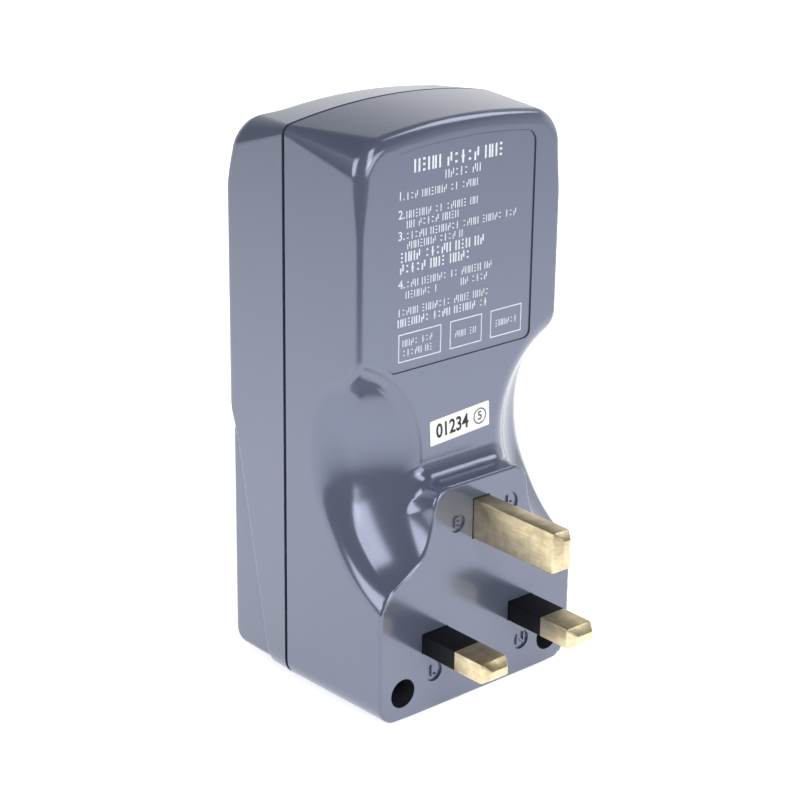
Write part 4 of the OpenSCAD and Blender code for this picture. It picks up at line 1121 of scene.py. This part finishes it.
@dataclass
class RatingPanel:
    """Printed panel in its recess: numbered rows of plain strokes and three ruled boxes."""

    half_w: float = 17.75
    low: float = 52.3
    top: float = 93.9
    crown_r: float = 122.9
    floor: float = -6.9
    film: float = 0.12
    ink: float = 0.03
    gap: float = 0.15
    foot_r: float = 1.6
    crown_corner_r: float = 2.4
    arch_points: int = 13
    number_size: float = 2.3
    number_room: float = 2.0
    letter_gap: float = 0.22
    word_gap: float = 0.7
    box_stroke: float = 0.2
    rows: tuple[PrintRow, ...] = (
        PrintRow(-11.9, 10.8, 89.2, 2.0, 0.42), PrintRow(-4.5, 4.3, 86.9, 1.4, 0.22),
        PrintRow(-15.8, 3.9, 84.4, number=1), PrintRow(-15.7, 4.1, 81.0, number=2),
        PrintRow(-13.6, -0.4, 79.2), PrintRow(-15.7, 14.4, 77.1, number=3), PrintRow(-13.5, -0.2, 75.3),
        PrintRow(-15.1, 5.8, 73.1, 1.5, 0.32), PrintRow(-15.1, 2.4, 70.9, 1.5, 0.32),
        PrintRow(-15.5, 7.8, 68.1, number=4), PrintRow(-13.6, -5.2, 66.1), PrintRow(-0.2, 6.6, 66.1),
        PrintRow(-15.5, 7.0, 63.0), PrintRow(-15.4, 6.8, 61.0, 1.25, 0.26),
        PrintRow(-14.2, -6.2, 57.1, 1.1), PrintRow(-14.2, -6.2, 55.2, 1.1), PrintRow(-1.4, 4.2, 56.2, 1.1),
        PrintRow(8.8, 14.6, 56.2, 1.1))
    boxes: tuple[tuple[float, float, float, float], ...] = (
        (-15.2, 54.2, -5.0, 59.4), (-2.6, 54.2, 5.2, 59.4), (7.6, 54.2, 15.4, 59.4))
    words: tuple[int, ...] = (4, 5, 3, 6, 2, 5, 7)

    def points(self, gap: float) -> list[tuple[float, float]]:
        """Outline with an arched top.

        Args:
            gap: Distance that it is set in.

        Returns:
            Points, anticlockwise from the lower left.
        """
        w, r = self.half_w - gap, self.crown_r - gap
        across = [w * t for t in np.linspace(1, -1, self.arch_points)]
        arch = [(u, self.top - gap - r + math.sqrt(r * r - u ** 2)) for u in across]
        return [(-w, self.low + gap), (w, self.low + gap), *arch]

    def corners(self) -> dict[int, float]:
        """Radii of the panel's four corners."""
        r, top_r, last = self.foot_r, self.crown_corner_r, self.arch_points + 1
        return {0: r, 1: r, 2: top_r, last: top_r}

    def build(self) -> None:
        """Builds the film and its print."""
        bm = bmesh.new()
        place = facing_back(0, self.floor + self.film, 0)
        plate(bm, self.points(self.gap), self.corners(), self.film, place)
        dress(as_object("panel_film", bm), LABEL_FILM, ["rating_label"])
        bm = bmesh.new()
        for number, row in enumerate(self.rows):
            self.row(bm, row, number)
        for u0, v0, u1, v1 in self.boxes:
            self.lines(bm, Stroke.FRAME, (u0, v0), (u1 - u0, v1 - v0), self.box_stroke)
        dress(as_object("panel_print", bm), PRINT_INK)

    def lines(self, bm: bmesh.types.BMesh, shape: Stroke, corner: tuple[float, float],
              cell: tuple[float, float], stroke: float) -> None:
        """Prints one shape; its level lines end where its upright ones start.

        Args:
            bm: Mesh to add to.
            shape: Shape to print.
            corner: Left end and level of its foot.
            cell: Width and height.
            stroke: Line width.
        """
        low, high = self.floor + self.film, self.floor + self.film + self.ink
        for u0, v0, u1, v1 in shape.value:
            across = -stroke / 2 if u0 != u1 else stroke / 2
            left, right = corner[0] + u0 * cell[0] - across, corner[0] + u1 * cell[0] + across
            foot, head = corner[1] + v0 * cell[1] - stroke / 2, corner[1] + v1 * cell[1] + stroke / 2
            bar(bm, (-right, low, foot), (-left, high, head))

    def row(self, bm: bmesh.types.BMesh, row: PrintRow, start: int) -> None:
        """Prints one row of shapes, spaced as words are.

        Args:
            bm: Mesh to add to.
            row: The row.
            start: Number that its order of shapes and word lengths starts from.
        """
        width = row.tall * 0.5
        pitch = width + row.stroke + self.letter_gap
        u = row.left
        if row.number:
            y = self.floor + self.film + self.ink / 2
            place = facing_back(-u - 0.8, y, row.level + row.tall / 2 + 0.1)
            letters(bm, f"{row.number}.", self.number_size, self.ink, place, 0.01)
            u += self.number_room
        shapes = [shape for shape in Stroke if shape is not Stroke.FRAME]
        word, left_over, step = start, self.words[start % len(self.words)], start * 3
        while u + width < row.right:
            shape = shapes[(step * step + step // 2) % len(shapes)]
            self.lines(bm, shape, (u, row.level), (width, row.tall), row.stroke)
            u, step, left_over = u + pitch, step + 1, left_over - 1
            if not left_over:
                word, u = word + 1, u + pitch * self.word_gap
                left_over = self.words[word % len(self.words)]


@dataclass
class DateSticker:
    """Small paper sticker with plain digits and a ringed one."""

    width: float = 15.0
    height: float = 5.0
    z: float = 39.0
    tilt: float = math.radians(3.5)
    thick: float = 0.1
    corner: float = 0.3
    ink: float = 0.015
    digits_u: float = -1.9
    digit_size: float = 3.9
    digit_narrow: float = 0.84
    ring_u: float = 5.1
    ring_r: float = 1.6
    ring_stroke: float = 0.22
    ring_digit: float = 2.4

    def build(self) -> None:
        """Builds the paper and its print."""
        bm = bmesh.new()
        place = facing_back(0, BACK + self.thick, self.z, self.tilt)
        corners = dict.fromkeys(range(4), self.corner)
        plate(bm, rectangle(self.width, self.height), corners, self.thick, place)
        dress(as_object("sticker", bm), STICKER_PAPER, ["date_sticker"])
        bm, ring = bmesh.new(), bmesh.new()
        narrow = Matrix.Diagonal((self.digit_narrow, 1.0, 1.0, 1.0))
        digits = place @ Matrix.Translation((self.digits_u, -0.05, 0.008)) @ narrow
        letters(bm, "01234", self.digit_size, self.ink, digits, 0.09)
        digit = place @ Matrix.Translation((self.ring_u, 0, 0.008))
        letters(bm, "5", self.ring_digit, self.ink, digit, 0.03)
        for r in (self.ring_r, self.ring_r - self.ring_stroke):
            bmesh.ops.create_circle(ring, cap_ends=False, segments=40, radius=r)
        bmesh.ops.bridge_loops(ring, edges=ring.edges)
        raise_faces(ring, list(ring.faces), (0, 0, self.ink))
        bmesh.ops.recalc_face_normals(ring, faces=ring.faces)
        around = place @ Matrix.Translation((self.ring_u, 0, 0))
        bmesh.ops.transform(ring, matrix=around, verts=ring.verts)
        add_mesh(bm, ring)
        dress(as_object("sticker_print", bm), BLACK_INK)


@dataclass
class Controls:
    """Reset and test buttons with crowned caps, and the indicator window."""

    proud: float = 3.4
    crown: float = 0.45
    crown_steps: tuple[tuple[float, float], ...] = ((0.5, 0.17), (0.6, 0.14), (0.7, 0.08))
    width: float = 14.0
    height: float = 16.0
    corner: float = 3.0
    brow: float = 0.9
    flange_front: float = -43.25
    flange_t: float = 1.4
    flange_out: float = 1.5
    flange_edge: float = 0.3
    stem_r: float = 2.0
    word_size: float = 3.4
    word_t: float = 0.3
    word_in: float = 0.16
    window: tuple[float, float] = (9.0, 3.2)
    window_t: float = 3.0
    window_edge: float = 0.35
    window_rim: tuple[float, float] = (1.0, 0.8)

    def cap(self, x: float) -> bmesh.types.BMesh:
        """Makes a button cap with a crowned top.

        Args:
            x: Sideways place.

        Returns:
            The closed cap.
        """
        bm = bmesh.new()
        w, h = self.width / 2, self.height / 2
        low = (x - w, FRONT - self.proud + self.crown, BUTTON_Z - h)
        bar(bm, low, (x + w, self.flange_front + self.flange_t, BUTTON_Z + h))
        upright = [e for e in bm.edges if abs(e.verts[0].co.y - e.verts[1].co.y) > 1]
        bmesh.ops.bevel(bm, geom=upright, offset=self.corner, affect="EDGES", segments=8, profile=0.5,
                        material=-1)
        top = min(bm.faces, key=lambda f: f.calc_center_median().y)
        bmesh.ops.bevel(bm, geom=list(top.edges), offset=self.brow, affect="EDGES", segments=5, profile=0.5,
                        material=-1)
        top = min(bm.faces, key=lambda f: f.calc_center_median().y)
        for width, rise in self.crown_steps:
            bmesh.ops.inset_region(bm, faces=[top], thickness=width)
            bmesh.ops.translate(bm, verts=top.verts, vec=(0, -rise, 0))
        return bm

    def build(self) -> None:
        """Builds both buttons and the window."""
        self.button("reset", -BUTTON_X, RESET_ABS, PRINT_INK, -33.05)
        self.button("test", BUTTON_X, TEST_ABS, BLACK_INK, -30.25)
        (w, h), (out, rim_t) = self.window, self.window_rim
        x, inner = -BUTTON_X, FRONT + self.window_t
        bm, rim = bmesh.new(), bmesh.new()
        w, h = w / 2, h / 2
        bar(bm, (x - w, FRONT, WINDOW_Z - h), (x + w, inner, WINDOW_Z + h), self.window_edge, 3)
        lens = as_object("window_lens", bm)
        w, h = w + out, h + out
        bar(rim, (x - w, inner - rim_t, WINDOW_Z - h), (x + w, inner, WINDOW_Z + h))
        shape_with(lens, rim, "UNION")
        dress(lens, CLEAR_PC, ["indicator_window"])

    def button(self, name: str, x: float, finish: Finish, ink: Finish, end: float) -> None:
        """Builds one button with its flange, stem and word.

        Args:
            name: What it does, which is also its word.
            x: Sideways place.
            finish: Material of the button.
            ink: Material of its word.
            end: Y of the stem's end.
        """
        piece = as_object(name + "_cap", self.cap(x))
        foot, stem, word = bmesh.new(), bmesh.new(), bmesh.new()
        w, h, y = self.width / 2 + self.flange_out, self.height / 2 + self.flange_out, self.flange_front
        bar(foot, (x - w, y, BUTTON_Z - h), (x + w, y + self.flange_t, BUTTON_Z + h), self.flange_edge)
        shape_with(piece, foot, "UNION")
        rod(stem, x, BUTTON_Z, end, y + self.flange_t / 2, self.stem_r)
        shape_with(piece, stem, "UNION")
        dress(piece, finish, [name + "_button"], name + "_button")
        place = facing_front(x, FRONT - self.proud + self.word_in, BUTTON_Z)
        letters(word, name.upper(), self.word_size, self.word_t, place, 0.04)
        dress(as_object(name + "_word", word), ink, (), name + "_button")


@dataclass(frozen=True)
class Coil:
    """One spring or pair: its node, the body that presses it, its seats, reach, middle diameter and turns."""

    node: str
    body: str
    seats: tuple[tuple[float, float, float], ...]
    reach: tuple[float, float, float]
    mean_d: float
    turns: int


@dataclass
class Springs:
    """Coil springs and the test leaf, which give way between the case and what presses them."""

    wire: float = 0.5
    clear: float = 0.02
    sides: int = 10
    steps: int = 24
    leaf_x: tuple[float, float] = (7.5, 11.5)
    leaf_y: tuple[float, float] = (-29.95, -29.45)
    leaf_z: tuple[float, float] = (55.2, 66.0)
    strip_t: float = 0.8
    leaf_reach: float = 22.63
    sharp: float = 40.0
    coils: tuple[Coil, ...] = (
        Coil("reset_spring", "reset_button", ((-BUTTON_X, -34.85, BUTTON_Z),), (0, -7.0, 0), 6.4, 5),
        Coil("test_spring", "test_button", ((BUTTON_X, -34.85, BUTTON_Z),), (0, -7.0, 0), 6.4, 5),
        Coil("carriage_springs", "carriage", ((-17.0, BOARD, BUTTON_Z), (-2.0, BOARD, BUTTON_Z)),
             (0, -16.25, 0), 4.6, 9),
        Coil("shutter_spring", "shutter", ((0.0, -39.7, -9.3),), (0, 0, 12.7), 3.2, 7),
    )

    def coil(self, bm: bmesh.types.BMesh, seat: Vector, reach: Vector, mean_d: float, turns: int) -> None:
        """Adds one coil of round wire between two flat seats.

        Args:
            bm: Mesh to add to.
            seat: Middle of the fixed seat.
            reach: From there to the moving seat.
            mean_d: Middle diameter.
            turns: Number of turns.
        """
        axis = reach.normalized()
        total = turns * self.steps
        rise = reach.length - self.wire - 2 * self.clear
        turn = reach.to_track_quat("Z", "Y").to_matrix().to_4x4()
        r = self.wire / 2
        out = Matrix.Translation((mean_d / 2, 0, r + self.clear)) @ Matrix.Rotation(math.pi / 2, 4, "X")
        place = Matrix.Translation(seat) @ turn @ out
        ring = bmesh.ops.create_circle(bm, segments=self.sides, radius=r, matrix=place)["verts"]
        edges = list({e for v in ring for e in v.link_edges})
        bmesh.ops.spin(bm, geom=ring + edges, cent=seat, axis=axis, dvec=axis * (rise / total),
                       angle=math.tau * turns, steps=total)

    def give_way(self, piece: bpy.types.Object, node: str, finish: Finish) -> None:
        """Dresses a springy piece and bakes its place into its mesh.

        Args:
            piece: Finished mesh object.
            node: CAD node that it stands for.
            finish: Material to use.
        """
        coat(piece, finish, [node], self.sharp)
        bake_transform(piece)

    def build(self) -> None:
        """Builds the springs and the leaf."""
        for coil in self.coils:
            bm, reach = bmesh.new(), Vector(coil.reach)
            for seat in coil.seats:
                self.coil(bm, Vector(seat), reach, coil.mean_d, coil.turns)
            bmesh.ops.holes_fill(bm, edges=[e for e in bm.edges if e.is_boundary], sides=self.sides)
            bmesh.ops.recalc_face_normals(bm, faces=bm.faces)
            piece, seat = as_object(coil.node + "_wire", bm), Vector(coil.seats[0])
            self.give_way(piece, coil.node, SPRING_WIRE)
        (x0, x1), (y0, y1), (z0, z1) = self.leaf_x, self.leaf_y, self.leaf_z
        strip, foot = bmesh.new(), bmesh.new()
        bar(strip, (x0, y0, z0), (x1, y1, z1))
        leaf = as_object("test_leaf_strip", strip)
        bar(foot, (x0, (y0 + y1) / 2, z0), (x1, BOARD, z0 + self.strip_t))
        shape_with(leaf, foot, "UNION")
        seat, reach = Vector(((x0 + x1) / 2, BOARD, z0)), Vector((0, -self.leaf_reach, 0))
        self.give_way(leaf, "test_leaf", STAMPED_BRASS)


class InnerWorks:
    """CAD pieces inside the case, which keep their meshes and get their finishes."""

    def build(self) -> None:
        """Gives each remaining node its finish."""
        for node, finish in NODE_FINISHES.items():
            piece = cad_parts[node]
            piece.data.materials.clear()
            piece.data.materials.append(finish.material())
            LOG.info("%s: %s", node, finish.name)


@dataclass
class Softbox:
    """One soft lamp: its way from the object and long axis in camera terms, distance, size and level."""

    name: str
    towards: tuple[float, float, float]
    size: tuple[float, float]
    level: float
    distance: float = 0.8
    along: tuple[float, float, float] = (0.0, 1.0, 0.0)


@dataclass
class Studio:
    """White floor, soft lamps, surroundings and the camera."""

    azimuth: float = math.radians(138.576)
    elevation: float = math.radians(20.292)
    roll: float = math.radians(0.764)
    aim: tuple[float, float, float] = (0.0, 0.0, 10.0)
    shift: tuple[float, float] = (15.070, -33.279)
    distance: float = 404.544
    lens: float = 95.85
    sensor: float = 36.0
    floor_z: float = -14.52
    floor_half: float = 1000.0
    floor_ahead: float = 380.0
    middle: tuple[float, float, float] = (0.0, -20.0, 40.0)
    table: tuple[float, float, float] = (-0.01, -0.01, 0.0)
    ambient: float = 0.3
    bright_way: tuple[float, float] = (0.45, -0.89)
    boxes: tuple[Softbox, ...] = (
        Softbox("strip_lamp", (0.33, 0.32, 0.89), (0.24, 0.74), 3.9, along=(-0.42, 0.80, -0.28)),
        Softbox("left_box", (-0.80, 0.24, 0.54), (0.40, 0.54), 3.8),
        Softbox("right_box", (0.50, 0.84, -0.10), (0.30, 0.30), 3.4),
        Softbox("right_fill", (0.72, -0.06, 0.69), (0.7, 0.5), 2.8, 1.0),
    )

    def axes(self) -> tuple[Vector, Vector, Vector]:
        """Camera axes.

        Returns:
            Right, up and backward directions.
        """
        a, e, r = self.azimuth, self.elevation, self.roll
        back = Vector((math.sin(a) * math.cos(e), -math.cos(a) * math.cos(e), math.sin(e)))
        right = (-back).cross(Vector((0, 0, 1))).normalized()
        up = right.cross(-back)
        return right * math.cos(r) + up * math.sin(r), up * math.cos(r) - right * math.sin(r), back

    def build(self) -> None:
        """Builds camera, floor, lamps and surroundings."""
        self.camera()
        self.floor()
        for box in self.boxes:
            self.lamp(box)
        self.surroundings()
        bpy.context.scene.view_settings.view_transform = "Standard"

    def camera(self) -> None:
        """Sets the camera at the photograph's viewpoint."""
        right, up, back = self.axes()
        data = bpy.data.cameras.new("camera")
        data.lens, data.sensor_width, data.clip_start, data.clip_end = self.lens, self.sensor, 0.01, 50
        camera = bpy.data.objects.new("camera", data)
        place = Vector(self.aim) - right * self.shift[0] - up * self.shift[1] + back * self.distance
        turn = Matrix((right, up, back)).transposed().to_4x4()
        camera.matrix_world = Matrix.Translation(place * MM) @ turn
        bpy.context.scene.collection.objects.link(camera)
        bpy.context.scene.camera = camera

    def floor(self) -> None:
        """Lays a white floor that fades to plain white away from the object."""
        back = self.axes()[2]
        away = Vector((-back.x, -back.y, 0)).normalized()
        bm = bmesh.new()
        bmesh.ops.create_grid(bm, x_segments=2, y_segments=2, size=self.floor_half)
        middle = Vector((0, self.middle[1], self.floor_z)) + away * self.floor_ahead
        turn = Matrix.Rotation(math.atan2(away.y, away.x), 4, "Z")
        bmesh.ops.transform(bm, matrix=Matrix.Translation(middle) @ turn, verts=bm.verts)
        floor = as_object("floor", bm)
        made = bpy.data.materials.new("white_table")
        made.use_nodes = True
        tree = made.node_tree
        tree.nodes.clear()
        place = add_node(tree, "ShaderNodeTexCoord", out="Object")
        reach = add_node(tree, "ShaderNodeVectorMath", {0: place}, "Value", operation="LENGTH")
        plain = add_node(tree, "ShaderNodeMapRange", {
            "Value": reach, "From Min": 0.1, "From Max": 0.3, "To Min": 0.6, "To Max": 1.0})
        seen = add_node(tree, "ShaderNodeLightPath", out="Is Camera Ray")
        rays = seen.node.outputs
        mirror = add_node(tree, "ShaderNodeMath", {
            0: rays["Is Glossy Ray"], 1: rays["Is Transmission Ray"]}, operation="MAXIMUM")
        shown = add_node(tree, "ShaderNodeMath", {0: seen, 1: plain}, operation="MULTIPLY")
        level = add_node(tree, "ShaderNodeMath", {0: shown, 1: mirror}, operation="MAXIMUM")
        glow = add_node(tree, "ShaderNodeEmission", {"Color": (1, 1, 1, 1), "Strength": level})
        paper = add_node(tree, "ShaderNodeBsdfDiffuse", {"Color": (0.9, 0.9, 0.9, 1)})
        both = add_node(tree, "ShaderNodeAddShader", {0: paper, 1: glow})
        aside = add_node(tree, "ShaderNodeVectorMath", {0: place, 1: self.table}, "Value",
                         operation="DISTANCE")
        edge = add_node(tree, "ShaderNodeMapRange", {
            "Value": aside, "From Min": 0.15, "From Max": 0.6, "To Max": 0.75})
        ahead = add_node(tree, "ShaderNodeVectorMath", {0: place, 1: tuple(-away)}, "Value",
                         operation="DOT_PRODUCT")
        near = add_node(tree, "ShaderNodeMapRange", {"Value": ahead, "From Min": 0.07, "From Max": 0.26})
        off = add_node(tree, "ShaderNodeMath", {0: edge, 1: near}, operation="MAXIMUM")
        past = add_node(tree, "ShaderNodeMath", {0: off, 1: mirror}, operation="MULTIPLY")
        dim = add_node(tree, "ShaderNodeMapRange", {"Value": near, "To Min": 0.6, "To Max": 0.12})
        room = add_node(tree, "ShaderNodeEmission", {"Color": (1, 1, 1, 1), "Strength": dim})
        whole = add_node(tree, "ShaderNodeMixShader", {0: past, 1: both, 2: room})
        add_node(tree, "ShaderNodeOutputMaterial", {"Surface": whole})
        floor.data.materials.append(made)

    def lamp(self, box: Softbox) -> None:
        """Adds one soft lamp that faces the object.

        Args:
            box: The lamp's place, size and brightness.
        """
        turn = Matrix(self.axes()).transposed()
        towards = (turn @ Vector(box.towards)).normalized()
        across = (turn @ Vector(box.along)).cross(towards).normalized()
        data = bpy.data.lights.new(box.name, "AREA")
        data.shape, data.size, data.size_y = "RECTANGLE", *box.size
        data.energy = box.level * math.pi * box.size[0] * box.size[1]
        lamp = bpy.data.objects.new(box.name, data)
        lamp.matrix_world = (Matrix.Translation(Vector(self.middle) * MM + towards * box.distance) @
                             Matrix((across, towards.cross(across), towards)).transposed().to_4x4())
        bpy.context.scene.collection.objects.link(lamp)

    def surroundings(self) -> None:
        """White world for the camera; a bright horizon and a dark room above it for other rays."""
        right, _, back = self.axes()
        bright = (right * self.bright_way[0] + back * self.bright_way[1]).normalized()
        world = bpy.data.worlds.new("studio")
        bpy.context.scene.world = world
        world.use_nodes = True
        tree = world.node_tree
        tree.nodes.clear()
        look = add_node(tree, "ShaderNodeTexCoord", out="Generated")
        height = add_node(tree, "ShaderNodeSeparateXYZ", {"Vector": look}, "Z")
        sweep = add_node(tree, "ShaderNodeMapRange", {
            "Value": height, "From Min": 0.2, "From Max": 0.7, "To Min": 1.0, "To Max": 0.2})
        front = add_node(tree, "ShaderNodeVectorMath", {0: look, 1: tuple(bright)}, "Value",
                         operation="DOT_PRODUCT")
        room = add_node(tree, "ShaderNodeMapRange", {
            "Value": front, "From Min": 0.05, "From Max": 0.7, "To Min": 0.1, "To Max": 1.15})
        level = add_node(tree, "ShaderNodeMath", {0: sweep, 1: room}, operation="MULTIPLY")
        seen = add_node(tree, "ShaderNodeLightPath", out="Is Camera Ray")
        spread = seen.node.outputs["Is Diffuse Ray"]
        soft = add_node(tree, "ShaderNodeMath", {0: spread, 1: self.ambient, 2: level},
                        operation="MULTIPLY_ADD")
        shown = add_node(tree, "ShaderNodeMix", {0: seen, 2: soft, 3: 1.0})
        sky = add_node(tree, "ShaderNodeBackground", {"Color": (1, 1, 1, 1), "Strength": shown})
        add_node(tree, "ShaderNodeOutputWorld", {"Surface": sky})


def main() -> None:
    """Builds the studio and every sub-assembly."""
    logging.basicConfig(level=logging.INFO, format="%(name)s: %(message)s")
    for assembly in (Studio, RearShell, FrontShell, TerminalMarks, PlugPins, RatingPanel, DateSticker,
                     Controls, Springs, InnerWorks):
        assembly().build()


if __name__ == "__main__":
    main()
